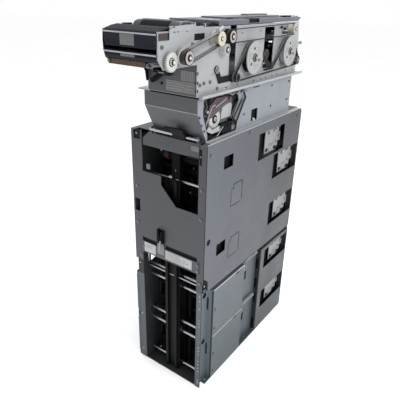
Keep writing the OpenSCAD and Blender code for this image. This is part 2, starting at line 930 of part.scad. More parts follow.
// Hinged cover: a sheet with folded edges and two raised ribs
module top_cover() {
    right = plate_right - sheet;
    color("#8b93a0") at_front() {
        difference() {
            union() {
                block([plate_left, cover_front, rail_high - sheet], [right, cover_back, rail_high]);
                for (x = [plate_left, right - sheet])
                    block([x, cover_front, rail_low], [x + sheet, cover_back - 6, rail_high]);
                block([plate_left, cover_front, rail_low + 3],
                      [right, cover_front + sheet, rail_high]);
            }
            block([84, 168, rail_low + 2], [right + 1, 214, rail_high + 1]);
            block([62, 330, rail_high - 3], [80, 372, rail_high + 1]);
        }
        block([right - 12, 60, rail_high - 0.2], [right - 8, 160, rail_high + 2]);
        block([right - 12, 222, rail_high - 0.2], [right - 8, 410, rail_high + 2]);
        block([plate_left + 12, 150, rail_high - 0.2], [46, 410, rail_high + 3]);
        block([-6, 300, rail_high + 2.8], [14, 400, rail_high + 6]);
        rod_x(plate_left, right, cover_back, rail_high - 2.5, 2.5);
    }
}

base_plate();
bay_shelves();
right_side_panel();
left_side_panel();
front_panel();
roof_plate();
top_cross_bar();
label_bar();
labels();
cable_clip();
release_latch();
right_inner_plate();
left_inner_plate();
front_side_cover(1);  // front_side_cover_1
front_side_cover(2);  // front_side_cover_2
rear_side_cover(1);  // rear_side_cover_1
rear_side_cover(2);  // rear_side_cover_2
left_lower_panel();
column_guides();
feed_shaft(1);  // feed_shaft_1
feed_shaft(2);  // feed_shaft_2
feed_shaft(3);  // feed_shaft_3
feed_shaft(4);  // feed_shaft_4
tower_belt();
cross_rods();
sensor_plates();
screws();
transport_front_plate();
transport_right_plate();
transport_left_plate();
gate_arm();
gate_gear();
gate_spring();
transport_motor();
base_flange();
presenter_front_plate();
presenter_left_plate();
presenter_right_plate();
presenter_rear_plate();
note_guides();
nose_upper_shell();
nose_lower_shell();
nose_trim();
copper_strip();
nose_gear();
gear_pulley();
cream_idler();
press_roller();
drive_pulley();
big_pulley_front();
big_pulley_rear();
rear_idler();
lower_idler();
middle_idler();
back_roller();
idler_bracket();
wide_belt();
long_belt();
lower_belt();
top_cover();
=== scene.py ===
import bpy
import bmesh
import json
import math
from mathutils import Matrix, Vector


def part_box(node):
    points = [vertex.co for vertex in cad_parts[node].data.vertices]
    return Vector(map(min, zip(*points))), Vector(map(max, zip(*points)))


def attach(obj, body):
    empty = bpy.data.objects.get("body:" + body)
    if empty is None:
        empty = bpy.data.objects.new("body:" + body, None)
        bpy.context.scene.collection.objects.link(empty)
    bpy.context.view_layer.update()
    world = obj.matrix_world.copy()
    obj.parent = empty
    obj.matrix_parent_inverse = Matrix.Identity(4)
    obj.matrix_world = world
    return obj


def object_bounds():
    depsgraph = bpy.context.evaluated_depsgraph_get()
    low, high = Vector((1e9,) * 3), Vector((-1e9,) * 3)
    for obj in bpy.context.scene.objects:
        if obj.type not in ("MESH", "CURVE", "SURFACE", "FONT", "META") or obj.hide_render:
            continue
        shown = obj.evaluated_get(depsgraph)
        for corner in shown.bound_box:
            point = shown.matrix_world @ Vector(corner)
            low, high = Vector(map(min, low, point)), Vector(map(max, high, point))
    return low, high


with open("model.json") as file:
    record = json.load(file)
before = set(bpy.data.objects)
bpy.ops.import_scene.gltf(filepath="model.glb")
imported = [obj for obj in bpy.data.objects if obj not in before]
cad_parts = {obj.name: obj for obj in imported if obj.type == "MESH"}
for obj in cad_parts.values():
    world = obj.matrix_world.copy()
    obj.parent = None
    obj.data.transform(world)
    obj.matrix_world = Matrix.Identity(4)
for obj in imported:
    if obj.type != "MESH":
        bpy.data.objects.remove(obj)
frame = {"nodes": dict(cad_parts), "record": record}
cad_box = [list(corner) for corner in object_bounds()]
NODES = frame["nodes"]
MM = 0.001

# Finishes for the CAD nodes of the banknote dispenser, small pieces on them, and a studio

# ---- places read from the frame ----


def low(node):
    """Lowest corner of a CAD node, in metres."""
    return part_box(node)[0]


def high(node):
    """Highest corner of a CAD node, in metres."""
    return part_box(node)[1]


FRONT_Y = low("front_panel").y


def at(x, y, z):
    """Point in metres from x, y behind the tower's front face, and z, in millimetres."""
    return Vector((x * MM, FRONT_Y + y * MM, z * MM))


def centre(node):
    """Middle of a wheel as (y behind the front face, z), in millimetres."""
    mid = (low(node) + high(node)) / 2
    return (mid.y - FRONT_Y) / MM, mid.z / MM


def mm(value):
    """Metres as millimetres, without the last bits of a float."""
    return round(value / MM, 3)


def solids(node):
    """Corners of each separate solid of a CAD node, in millimetres behind the front face."""
    mesh = NODES[node].data
    keys = [tuple(round(c, 6) for c in v.co) for v in mesh.vertices]
    group = {key: {key} for key in keys}
    for poly in mesh.polygons:
        joined = set().union(*(group[keys[v]] for v in poly.vertices))
        group.update(dict.fromkeys(joined, joined))
    corners = set()
    for points in group.values():
        xs, ys, zs = zip(*points)
        corners.add(tuple(
            (mm(pick(xs)), mm(pick(ys) - FRONT_Y), mm(pick(zs))) for pick in (min, max)
        ))
    return sorted(corners)


# Planes that small pieces lie on: outer faces of the presenter's right plate and of the
# tower's right side, inner face of its left wall, the fronts of the nose and of the
# presenter, and the roof. BAY is the height of one cassette bay.
PLATE = mm(high("presenter_right_plate").x)
SIDE = mm(high("right_side_panel").x)
LEFT_WALL = mm(high("left_inner_plate").x)
NOSE = mm(low("nose_upper_shell").y - FRONT_Y)
UNIT_FRONT = mm(low("presenter_front_plate").y - FRONT_Y)
ROOF = mm(high("roof_plate").z)
BAY = mm(low("feed_shaft_2").z - low("feed_shaft_1").z)

# Heights: tops of the two front side covers' raised faces, and feet of the knock-outs
COVER_TOPS = (149.5, 301)
KNOCKOUTS = (518, 371)


# ---- camera ----


def camera():
    """Camera at the photograph's viewing angle, recovered from the tower's corners."""
    data = bpy.data.cameras.new("camera")
    data.sensor_width = 36
    data.lens = 39.86
    data.clip_end = 20
    cam = bpy.data.objects.new("camera", data)
    bpy.context.scene.collection.objects.link(cam)
    forward = Vector((-0.5257, 0.7410, -0.4179)).normalized()
    right = Vector((0.8093, 0.5870, 0.0228))
    right = (right - forward * right.dot(forward)).normalized()
    up = right.cross(forward)
    turn = Matrix((right, up, -forward)).transposed()
    cam.matrix_world = Matrix.Translation(at(618.6, -738.0, 986.6)) @ turn.to_4x4()
    bpy.context.scene.camera = cam


# ---- materials ----


MATERIALS = {}


class Nodes:
    """Builds the node tree of a new material, which MATERIALS keeps by its name."""

    def __init__(self, name):
        MATERIALS[name] = bpy.data.materials.new(name)
        MATERIALS[name].use_nodes = True
        self.tree = MATERIALS[name].node_tree
        self.shader = self.tree.nodes["Principled BSDF"]
        self.coords = self.add("ShaderNodeTexCoord").outputs["Object"]

    def add(self, kind, **values):
        """New node with these settings."""
        made = self.tree.nodes.new(kind)
        for key, value in values.items():
            setattr(made, key, value)
        return made

    def link(self, a, b):
        self.tree.links.new(a, b)

    def feed(self, value, socket):
        """Link another node's output to a socket, or set a plain number or colour."""
        if isinstance(value, bpy.types.NodeSocket):
            self.link(value, socket)
        else:
            socket.default_value = (*value, 1) if isinstance(value, tuple) else value

    def noise(self, scale, detail=4.0, stretch=(1, 1, 1)):
        """Noise from 0 to 1 in the object's own space."""
        mapping = self.add("ShaderNodeMapping")
        mapping.inputs["Scale"].default_value = stretch
        self.link(self.coords, mapping.inputs["Vector"])
        tex = self.add("ShaderNodeTexNoise")
        tex.inputs["Scale"].default_value = scale
        tex.inputs["Detail"].default_value = detail
        tex.inputs["Roughness"].default_value = 0.6
        self.link(mapping.outputs["Vector"], tex.inputs["Vector"])
        return tex.outputs["Fac"]

    def ramp(self, fac, stops):
        """Colour ramp with (place, colour) stops."""
        ramp = self.add("ShaderNodeValToRGB")
        marks = ramp.color_ramp.elements
        while len(marks) < len(stops):
            marks.new(0.5)
        for mark, (place, colour) in zip(marks, stops):
            mark.position = place
            mark.color = (*colour, 1)
        self.link(fac, ramp.inputs["Fac"])
        return ramp.outputs["Color"]

    def span(self, fac, low_out, high_out, low_in=0.3, high_in=0.7):
        """Value moved from one range to another, and held at the ends."""
        rng = self.add("ShaderNodeMapRange")
        rng.inputs["From Min"].default_value = low_in
        rng.inputs["From Max"].default_value = high_in
        rng.inputs["To Min"].default_value = low_out
        rng.inputs["To Max"].default_value = high_out
        self.link(fac, rng.inputs["Value"])
        return rng.outputs["Result"]

    def mix(self, fac, a, b):
        """Colour a where fac is 0, and b where it is 1."""
        mix = self.add("ShaderNodeMix", data_type="RGBA")
        self.link(fac, mix.inputs["Factor"])
        self.feed(a, mix.inputs[6])
        self.feed(b, mix.inputs[7])
        return mix.outputs[2]

    def maths(self, operation, *values):
        made = self.add("ShaderNodeMath", operation=operation)
        for value, socket in zip(values, made.inputs):
            self.feed(value, socket)
        return made.outputs[0]

    def times(self, a, b):
        return self.maths("MULTIPLY", a, b)

    def two_tone(self, fac, dark, pale):
        return self.ramp(fac, [(0.3, dark), (0.7, pale)])

    def rounded(self, radius):
        """Normal of the surface as if its edges were rounded."""
        bevel = self.add("ShaderNodeBevel", samples=4)
        bevel.inputs["Radius"].default_value = radius
        return bevel.outputs["Normal"]

    def edges(self, normal):
        """1 near an outer edge, 0 on flat faces."""
        geo = self.add("ShaderNodeNewGeometry")
        dot = self.add("ShaderNodeVectorMath", operation="DOT_PRODUCT")
        self.link(normal, dot.inputs[0])
        self.link(geo.outputs["Normal"], dot.inputs[1])
        return self.span(dot.outputs["Value"], 1.0, 0.0, 0.72, 0.97)

    def bump(self, height, strength, distance, normal=None):
        bump = self.add("ShaderNodeBump")
        bump.inputs["Strength"].default_value = strength
        bump.inputs["Distance"].default_value = distance
        self.link(height, bump.inputs["Height"])
        if normal is not None:
            self.link(normal, bump.inputs["Normal"])
        self.link(bump.outputs["Normal"], self.shader.inputs["Normal"])

    def axis(self, name, low_in, high_in, low_out=0.0, high_out=1.0):
        """Ramp along one axis of the object's own space, in metres."""
        parts = self.add("ShaderNodeSeparateXYZ")
        self.link(self.coords, parts.inputs[0])
        return self.span(parts.outputs[name], low_out, high_out, low_in, high_in)

    def level(self, value):
        self.shader.inputs["Specular IOR Level"].default_value = value

    def colour(self, value):
        self.link(value, self.shader.inputs["Base Color"])

    def rough(self, value):
        self.link(value, self.shader.inputs["Roughness"])


def shade(colour, by):
    """Colour made darker or lighter."""
    return tuple(min(1.0, c * by) for c in colour)


def painted(name, colour, rough=0.45, metal=0.0, rub_and_highlight=0.6, shade_height=0.0, level=0.5):
    """Satin finish on sheet steel: cloudy colour, fine orange peel, dust, and pale edges that
    are partly rubbed and partly painted highlight. With a shade height given, painted shade
    darkens it towards the back, and below that height towards the floor."""
    n = Nodes(name)
    n.level(level)
    cloud = n.noise(9.0, 5.0)
    base = n.ramp(cloud, [(0.3, shade(colour, 0.88)), (0.52, colour), (0.72, shade(colour, 1.1))])
    smudge = n.span(n.noise(38.0, 6.0, (1, 1, 0.35)), 0.0, 0.35, 0.52, 0.75)
    dust_and_shade = n.mix(smudge, base, shade(colour, 0.80))
    # painted shade: darker towards the back, and darker and greener below the given height
    if shade_height:
        back = n.mix(n.axis("Y", FRONT_Y, FRONT_Y + 0.40), dust_and_shade, shade(colour, 0.46))
        floor_shade = (colour[0] * 0.36, colour[1] * 0.45, colour[2] * 0.46)
        dust_and_shade = n.mix(n.axis("Z", shade_height, 0.0, 0.0, 0.9), back, floor_shade)
    normal = n.rounded(0.0011)
    # pale edges: partly rubbed paint, partly painted highlight
    patch = n.span(n.noise(160.0, 3.0), 0.3 * rub_and_highlight, rub_and_highlight, 0.38, 0.62)
    n.colour(n.mix(n.times(n.edges(normal), patch), dust_and_shade, shade(colour, 2.2)))
    n.rough(n.span(cloud, rough - 0.07, rough + 0.09))
    n.shader.inputs["Metallic"].default_value = metal
    n.bump(n.noise(900.0, 2.0), 0.10, 0.0002, normal)


def brushed(name, colour, rough=0.28, along=(0.04, 1, 1)):
    """Ground or plated steel with fine lines and slight stains."""
    n = Nodes(name)
    lines = n.noise(700.0, 3.0, along)
    stain = n.noise(24.0, 5.0)
    base = n.ramp(stain, [(0.3, shade(colour, 0.82)), (0.55, colour), (0.75, shade(colour, 1.08))])
    n.colour(n.mix(n.span(lines, 0.0, 0.30), base, shade(colour, 0.72)))
    n.rough(n.span(lines, rough - 0.06, rough + 0.14))
    n.shader.inputs["Metallic"].default_value = 1.0
    n.bump(lines, 0.12, 0.0001)


def moulded(name, colour, rough=0.4, speck=0.06, subsurface=0.0, level=0.5):
    """Moulded plastic: slight colour clouds, fine grain, faint grime."""
    n = Nodes(name)
    n.level(level)
    cloud = n.noise(30.0, 4.0)
    grime = n.span(n.noise(90.0, 5.0), 0.0, 0.4, 0.55, 0.78)
    base = n.ramp(cloud, [(0.3, shade(colour, 0.93)), (0.55, colour), (0.75, shade(colour, 1.05))])
    n.colour(n.mix(grime, base, shade(colour, 0.72)))
    n.rough(n.span(n.noise(240.0, 3.0), rough - 0.06, rough + 0.08))
    n.shader.inputs["Subsurface Weight"].default_value = subsurface
    n.shader.inputs["Subsurface Radius"].default_value = (0.002, 0.002, 0.0015)
    n.bump(n.noise(1500.0, 2.0), speck, 0.0002, n.rounded(0.0006))


def rubber(name, colour):
    """Dull rubber with pale patches."""
    n = Nodes(name)
    n.level(0.3)
    cloud = n.noise(60.0, 5.0)
    n.colour(n.ramp(cloud, [
        (0.3, shade(colour, 0.75)), (0.55, colour), (0.8, shade(colour, 1.7))
    ]))
    n.rough(n.span(cloud, 0.55, 0.75))
    n.bump(n.noise(800.0, 3.0), 0.25, 0.0002)


def gloss_black(name, colour):
    """Polished black plastic, streaked along x, with pale edges, partly rubbed and partly
    painted highlight.
    """
    n = Nodes(name)
    n.level(0.09)
    streak = n.noise(60.0, 4.0, (0.15, 1, 1))
    normal = n.rounded(0.0008)
    base = n.ramp(streak, [(0.35, colour), (0.7, shade(colour, 2.0))])
    # pale bluish edges: partly rubbed, partly painted highlight
    n.colour(n.mix(n.edges(normal), base, (0.09, 0.095, 0.11)))
    n.rough(n.span(n.noise(30.0, 5.0), 0.16, 0.30))
    n.bump(n.noise(420.0, 2.0), 0.05, 0.0002, normal)


def belt_with_sheen(name, dark, pale, rough, sheen_mask):
    """Belt with dark edges, and a back made pale by painted sheen where the mask that the last
    argument makes from its nodes is 1.
    """
    n = Nodes(name)
    cloud = n.noise(60.0, 5.0)
    n.colour(n.mix(sheen_mask(n), n.two_tone(cloud, *dark), n.two_tone(cloud, *pale)))
    n.rough(n.span(cloud, *rough))
    n.bump(n.noise(800.0, 3.0), 0.15, 0.0002)


def lower_belt_sheen(n):
    """Where painted sheen goes: above its lower run, and off the edge that is next to the pulleys'
    rims.
    """
    return n.times(n.axis("Z", 0.816, 0.820), n.axis("X", 0.1055, 0.1048))


def wide_belt_sheen(n):
    """Where painted sheen goes: between its two wheels, and off its outer edge."""
    run = n.times(n.axis("Y", FRONT_Y - 0.072, FRONT_Y - 0.064),
                  n.axis("Y", FRONT_Y + 0.026, FRONT_Y + 0.018))
    return n.times(run, n.axis("X", 0.1158, 0.1154))


def gear_white(node, root, teeth, turn):
    """White moulded gear with painted shade between its teeth: root radius in millimetres,
    and the angle of one tooth in radians."""
    n = Nodes(node + "_white")
    y, z = centre(node)
    parts = n.add("ShaderNodeSeparateXYZ")
    n.link(n.coords, parts.inputs[0])
    back = n.maths("SUBTRACT", parts.outputs["Y"], at(0, y, z).y)
    up = n.maths("SUBTRACT", parts.outputs["Z"], z * MM)
    radius = n.maths("SQRT", n.maths("ADD", n.times(back, back), n.times(up, up)))
    root_shade = n.span(radius, 0.0, 1.0, (root - 0.4) * MM, (root + 0.2) * MM)
    angle = n.maths("ARCTAN2", up, back)
    wave = n.maths("COSINE", n.maths("MULTIPLY_ADD", angle, teeth, -teeth * turn))
    # painted shade in the gaps between the teeth
    between = n.times(root_shade, n.span(wave, 1.0, 0.0, -0.35, 0.35))
    cloud = n.noise(40.0, 4.0)
    white = n.two_tone(cloud, (0.37, 0.37, 0.355), (0.42, 0.42, 0.405))
    n.colour(n.mix(between, white, (0.035, 0.035, 0.033)))
    n.rough(n.span(cloud, 0.36, 0.48))
    n.bump(n.noise(1500.0, 2.0), 0.06, 0.0002, n.rounded(0.0005))


def label_paper():
    """Blank labels: pale ones on the bar, brown-grey ones under the presenter."""
    n = Nodes("label_stock")
    cloud = n.noise(40.0, 4.0)
    pale = n.two_tone(cloud, (0.33, 0.345, 0.355), (0.41, 0.425, 0.435))
    brown = n.two_tone(cloud, (0.105, 0.101, 0.099), (0.145, 0.140, 0.136))
    n.colour(n.mix(n.axis("Z", 0.79, 0.80), pale, brown))
    n.rough(n.span(cloud, 0.32, 0.45))
    n.bump(n.noise(700.0, 2.0), 0.05, 0.0001)


GEAR_AT, PULLEY_AT = centre("nose_gear"), centre("gear_pulley")
MESH_ANGLE = math.atan2(PULLEY_AT[1] - GEAR_AT[1], PULLEY_AT[0] - GEAR_AT[0])

painted("tower_paint", (0.056, 0.064, 0.079), shade_height=0.30)
painted("front_paint", (0.040, 0.044, 0.053))
painted("dark_floor", (0.016, 0.019, 0.021))
# near black: dark steel, darkened further as painted shade inside the cassette bays
painted("bay_steel", (0.006, 0.007, 0.008), 0.6, level=0.12)
painted("unit_steel", (0.158, 0.170, 0.192))
painted("plate_steel", (0.275, 0.290, 0.302), 0.36, 0.3)
painted("cover_steel", (0.092, 0.104, 0.128), 0.33, 0.25)
gloss_black("nose_face", (0.007, 0.009, 0.013))
gloss_black("nose_black", (0.005, 0.006, 0.010))
moulded("black_plastic", (0.005, 0.005, 0.006), 0.5, level=0.12)
moulded("print_grey", (0.115, 0.12, 0.125), 0.4)
# dark paint with a blue tint that is painted sheen
painted("hood_dark_blue_sheen", (0.017, 0.020, 0.028), 0.4, rub_and_highlight=0.2, level=0.3)
moulded("pale_plastic", (0.25, 0.258, 0.265), 0.45)
moulded("white_plastic", (0.40, 0.40, 0.385), 0.42, subsurface=0.05)
moulded("cream_plastic", (0.385, 0.372, 0.300), 0.38, subsurface=0.05)
rubber("belt_rubber", (0.016, 0.014, 0.013))
brushed("bright_steel", (0.43, 0.44, 0.46))
brushed("copper", (0.115, 0.074, 0.050), 0.45)
painted("gate_bronze", (0.062, 0.040, 0.050), 0.35, 0.4)
label_paper()
# shades of the same finishes that only some pieces have
# darker copy of unit_steel: painted shade on the plates that face the front
painted("unit_steel_front_shade", (0.052, 0.058, 0.066))
# dark paint of the left inner plate, also used for sheets of painted shade
painted("bay_steel_left_and_shade", (0.020, 0.023, 0.024), 0.55, level=0.3)
painted("tower_paint_cover", (0.078, 0.095, 0.109), shade_height=0.31)
brushed("screw_steel", (0.20, 0.21, 0.22), 0.35)
painted("board_grey", (0.172, 0.172, 0.180), 0.4, rub_and_highlight=0.2)
# belts whose pale backs are painted sheen
belt_with_sheen(
    "belt_rubber_wide", ((0.012, 0.011, 0.010), (0.026, 0.021, 0.018)),
    ((0.125, 0.130, 0.138), (0.175, 0.182, 0.192)), (0.40, 0.55), wide_belt_sheen)
belt_with_sheen(
    "belt_rubber_lower", ((0.012, 0.011, 0.010), (0.022, 0.019, 0.017)),
    ((0.075, 0.079, 0.085), (0.115, 0.120, 0.128)), (0.45, 0.6), lower_belt_sheen)
gear_white("nose_gear", 15.8, 34, MESH_ANGLE)
gear_white("gear_pulley", 14.8, 32, MESH_ANGLE + math.pi * 33 / 32)
moulded("pulley_white", (0.245, 0.248, 0.250), 0.45)
moulded("label_print", (0.135, 0.130, 0.125), 0.4)
moulded("tan_plastic", (0.255, 0.232, 0.210), 0.4)
brushed("hub_brown", (0.060, 0.045, 0.034), 0.42)
moulded("glass_grey", (0.100, 0.110, 0.107), 0.25, 0.02)
brushed("cap_bronze", (0.085, 0.075, 0.070), 0.4, (1, 0.04, 1))
brushed("dark_steel", (0.05, 0.05, 0.055), 0.35)
moulded("olive_film", (0.105, 0.105, 0.062), 0.3, 0.02)
moulded("groove_black", (0.022, 0.023, 0.027), 0.42, level=0.3)
moulded("column_black", (0.0045, 0.0048, 0.0055), 0.42, level=0.1)
moulded("deep_black", (0.004, 0.004, 0.005), 0.6, level=0.08)
moulded("wire_green", (0.07, 0.08, 0.045), 0.4)
# pale steel for trims and clips, and painted highlights on edges and folds
painted("pale_steel_and_highlight", (0.33, 0.34, 0.35), 0.35, rub_and_highlight=0.3)
moulded("wire_white", (0.22, 0.25, 0.21), 0.4)
rubber("red_rubber", (0.026, 0.012, 0.012))
moulded("marker_green", (0.006, 0.055, 0.042), 0.35)

# CAD nodes that don't wear the finish of their own material slot
OTHER_SHADE = {
    "transport_front_plate": "unit_steel_front_shade", "presenter_front_plate": "unit_steel_front_shade",
    "label_bar": "unit_steel_front_shade", "left_inner_plate": "bay_steel_left_and_shade",
    "front_side_cover_1": "tower_paint_cover", "front_side_cover_2": "tower_paint_cover",
    "column_guides": "column_black", "screws": "screw_steel", "sensor_plates": "board_grey",
    "wide_belt": "belt_rubber_wide", "lower_belt": "belt_rubber_lower",
    "big_pulley_front": "pulley_white", "big_pulley_rear": "pulley_white",
    "nose_gear": "nose_gear_white", "gear_pulley": "gear_pulley_white",
}


def dress_cad():
    """Finish on each CAD node."""
    for row in frame["record"]["subparts"]:
        obj = NODES[row["node"]]
        name = OTHER_SHADE.get(row["node"], row["material_slot"])
        obj.data.materials.clear()
        obj.data.materials.append(MATERIALS[name])


# ---- small pieces ----


PIECES = []


def across(axis, a, b, along):
    """Point with this place along an axis, and a and b in the two other directions."""
    point = [a, b]
    point.insert("xyz".index(axis), along)
    return point


class Solid:
    """Gathers closed shapes, in millimetres behind the front face, in one mesh. The meshes
    become objects at the end, in the order of PIECES."""

    def __init__(self, name, material, body="frame", bevel=0.3):
        self.name, self.material, self.body, self.bevel = name, material, body, bevel
        self.bm = bmesh.new()
        PIECES.append(self)

    def loops(self, rings, closed=False):
        """Skin over rings of points that have the same count."""
        made = [[self.bm.verts.new(p) for p in ring] for ring in rings]
        count = len(made[0])
        pairs = list(zip(made, made[1:])) + ([(made[-1], made[0])] if closed else [])
        for a, b in pairs:
            for i in range(count):
                j = (i + 1) % count
                self.bm.faces.new((a[i], a[j], b[j], b[i]))
        if not closed:
            self.bm.faces.new(made[0][::-1])
            self.bm.faces.new(made[-1])
        return self

    def prism(self, axis, start, end, outline):
        """Outline pushed along an axis: (y, z) along x, (x, z) along y, (x, y) along z."""
        return self.loops([[at(*across(axis, a, b, s)) for a, b in outline]
                           for s in (start, end)])

    def box(self, lo, hi):
        """Box between its lowest and highest corners."""
        return self.prism("z", lo[2], hi[2], [
            (lo[0], lo[1]), (hi[0], lo[1]), (hi[0], hi[1]), (lo[0], hi[1])
        ])

    def slabs(self, axis, start, end, rects):
        """Boxes between two planes across an axis. Each rect is (low, high, low, high) in
        the two other directions."""
        for a0, a1, b0, b1 in rects:
            self.box(across(axis, a0, b0, start), across(axis, a1, b1, end))
        return self

    def ring(self, x0, x1, y, z, outer, inner, sides=36):
        """Flat ring round an axis along x."""
        def loop(x, r):
            return [at(x, y + r * math.cos(a), z + r * math.sin(a)) for a in turns]
        turns = [2 * math.pi * i / sides for i in range(sides)]
        return self.loops([loop(x0, inner), loop(x0, outer), loop(x1, outer),
                           loop(x1, inner)], closed=True)

    def arc(self, x0, x1, y, z, outer, inner, start, end):
        """Part of a flat ring, between two angles in degrees."""
        steps = 12
        turns = [math.radians(start + (end - start) * i / steps) for i in range(steps + 1)]
        out = [(y + outer * math.cos(a), z + outer * math.sin(a)) for a in turns]
        back = [(y + inner * math.cos(a), z + inner * math.sin(a)) for a in reversed(turns)]
        return self.prism("x", x0, x1, out + back)

    def tube(self, line, radii, sides):
        """Round skin along a line of points, with a radius at each."""
        side = (line[1] - line[0]).orthogonal().normalized()
        rings = []
        for i, (p, r) in enumerate(zip(line, radii)):
            along = (line[min(i + 1, len(line) - 1)] - line[max(i - 1, 0)]).normalized()
            side = (side - along * side.dot(along)).normalized()
            other = along.cross(side)
            turns = [2 * math.pi * k / sides for k in range(sides)]
            rings.append([p + (side * math.cos(t) + other * math.sin(t)) * r * MM for t in turns])
        return self.loops(rings)

    def rod(self, a, b, radius, sides=20, far=None):
        """Round bar between two points; far is its radius at the second one."""
        return self.tube([at(*a), at(*b)], [radius, radius if far is None else far], sides)

    def discs(self, x, proud, radius, points, far=None):
        """Discs or bolt heads on the plane at x, at each (y, z)."""
        for y, z in points:
            self.rod((x, y, z), (x + proud, y, z), radius, far=far)
        return self

    def wire(self, points, radius, sides=8, steps=6):
        """Smooth round wire through points."""
        pts = [at(*p) for p in points]
        ends = [2 * pts[0] - pts[1]] + pts + [2 * pts[-1] - pts[-2]]
        line = []
        for p0, p1, p2, p3 in zip(ends, ends[1:], ends[2:], ends[3:]):
            for i in range(steps):
                t = i / steps
                line.append(0.5 * (2 * p1 + (p2 - p0) * t
                                   + (2 * p0 - 5 * p1 + 4 * p2 - p3) * t * t
                                   + (3 * p1 - p0 - 3 * p2 + p3) * t ** 3))
        line.append(pts[-1])
        return self.tube(line, [radius] * len(line), sides)

    def build(self):
        """Object on its body, with smooth faces, sharp corners and rounded edges."""
        bmesh.ops.recalc_face_normals(self.bm, faces=self.bm.faces)
        mesh = bpy.data.meshes.new(self.name)
        self.bm.to_mesh(mesh)
        self.bm.free()
        mesh.polygons.foreach_set("use_smooth", [True] * len(mesh.polygons))
        mesh.set_sharp_from_angle(angle=math.radians(35))
        mesh.materials.append(MATERIALS[self.material])
        obj = bpy.data.objects.new(self.name, mesh)
        bpy.context.scene.collection.objects.link(obj)
        if self.bevel:
            mod = obj.modifiers.new("rounding", "BEVEL")
            mod.width = self.bevel * MM
            mod.segments = 2
            mod.limit_method = "ANGLE"
            mod.angle_limit = math.radians(40)
        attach(obj, self.body)


# ---- screws ----


def screw_recesses():
    """Dark cross of painted shade in each screw head, on the face that is furthest out."""
    arm, half, proud, deep = 2.1, 0.45, 0.03, 0.3
    longest_front_screw = 4.5
    # dark crosses: painted shade in the screws' recesses
    cross = Solid("screw_cross_shade", "dark_steel", bevel=0)
    for lo, hi in solids("screws"):
        x, y, z = ((a + b) / 2 for a, b in zip(lo, hi))
        length = hi[1] - lo[1]
        faces_front = length < hi[0] - lo[0] and length < longest_front_screw and lo[1] < 0
        for w, h in ((arm, half), (half, arm)):
            if faces_front:
                cross.box((x - w, lo[1] - proud, z - h), (x + w, lo[1] + deep, z + h))
            elif x > 0:
                cross.box((hi[0] - deep, y - w, z - h), (hi[0] + proud, y + w, z + h))
            else:
                cross.box((lo[0] - proud, y - w, z - h), (lo[0] + deep, y + w, z + h))


# ---- presenter wheels ----


def hub(node, body, x, parts):
    """Rings on a wheel's outer face: (material, x from, x to, outer radius, inner radius).
    One without an inner radius fits round the wheel's shaft."""
    y, z = centre(node)
    on_shaft = 3.02
    for i, (material, x0, x1, outer, *inner) in enumerate(parts):
        Solid(f"{node}_face_{i + 1}", material, body, 0.12).ring(
            x + x0, x + x1, y, z, outer, inner[0] if inner else on_shaft)


def wheels():
    """Hubs, retaining rings and flanges on the presenter's wheels."""
    hub("nose_gear", "nose_wheel", 104, [
        ("dark_steel", 0, 0.4, 8.2, 6.55), ("dark_steel", 3, 3.9, 5.6),
        ("white_plastic", 0, 0.6, 14.4, 12.6), ("bright_steel", 4.2, 5.4, 3.5)])
    hub("gear_pulley", "gear_belt_wheel", 118.5, [
        ("tan_plastic", 0, 0.5, 12.2, 6.4), ("hub_brown", 0, 1.3, 6.3),
        ("deep_black", -1.4, 0.4, 13.4, 13.03), ("deep_black", 0, 0.4, 13.4, 12.3),
        ("dark_steel", 1.5, 2.3, 4.6)])
    hub("cream_idler", "cream_wheel", 118.5, [
        ("cream_plastic", 0, 0.5, 12.8, 9.4), ("dark_steel", 0, 0.9, 4.6)])
    hub("drive_pulley", "drive_wheel", 116, [
        ("tan_plastic", 0, 0.5, 11.8, 7.2), ("hub_brown", 0, 0.9, 7.0),
        ("deep_black", -3, 0.4, 14.6, 14.05), ("deep_black", 0, 0.4, 14.6, 11.9),
        ("deep_black", -16.3, -8.8, 14.6, 12.05), ("bright_steel", 1.0, 1.8, 3.5)])
    hub("press_roller", "press_wheel", 110, [
        ("pale_plastic", 0, 0.5, 11.0, 7.1), ("dark_steel", 1, 2, 6.4),
        ("bright_steel", 2.1, 2.8, 3.5)])
    hub("rear_idler", "rear_idler_wheel", 116, [
        ("pale_plastic", 0, 0.6, 13.0, 8.4), ("dark_steel", 0, 1, 5.0)])
    hub("lower_idler", "lower_idler_wheel", 112, [
        ("screw_steel", 0, 0.5, 9.4, 8.0), ("dark_steel", 0, 1.2, 4.2, 2.7)])
    hub("middle_idler", "middle_idler_wheel", 110.5, [("copper", 0, 1, 7.0)])
    hub("back_roller", "back_wheel", 111.5, [
        ("dark_steel", 0, 0.5, 10.8, 5.4), ("bright_steel", 0, 1.2, 4.6)])
    big_wheel("big_pulley_front", "front_big_wheel")
    big_wheel("big_pulley_rear", "rear_big_wheel")


def big_wheel(node, body):
    """Rim and hub of a big pulley, and its pressed slots and holes drawn as dark arcs and rings
    of painted shade. The front one has a dark drum.
    """
    y, z = centre(node)
    web = 112
    hub(node, body, web, [
        ("pulley_white", 0, 0.5, 35.4, 33.6), ("pale_plastic", 0, 0.3, 26.6, 25.9),
        ("dark_steel", 2.5, 3.4, 6.6), ("dark_steel", 0, 0.3, 9.6, 7.05),
        ("bright_steel", 3.6, 4.2, 3.3)])
    if node == "big_pulley_front":
        Solid(node + "_drum_skin", "deep_black", body, 0).ring(
            98.6, 110.4, y, z, 33.18, 33.02, 120)
    # dark arcs and rings: painted shade in the pulley's slots and holes
    marks = Solid(node + "_slots", "dark_steel", body, 0)
    for turn in (160, 280, 400):
        marks.arc(web, web + 0.2, y, z, 17.4, 16.8, turn - 26, turn + 26)
        marks.arc(web, web + 0.2, y, z, 23.4, 22.9, turn - 12, turn + 34)
        a = math.radians(turn - 60)
        marks.ring(web, web + 0.4, y + 20 * math.cos(a), z + 20 * math.sin(a), 3.3, 2.65, 20)


# ---- nose ----


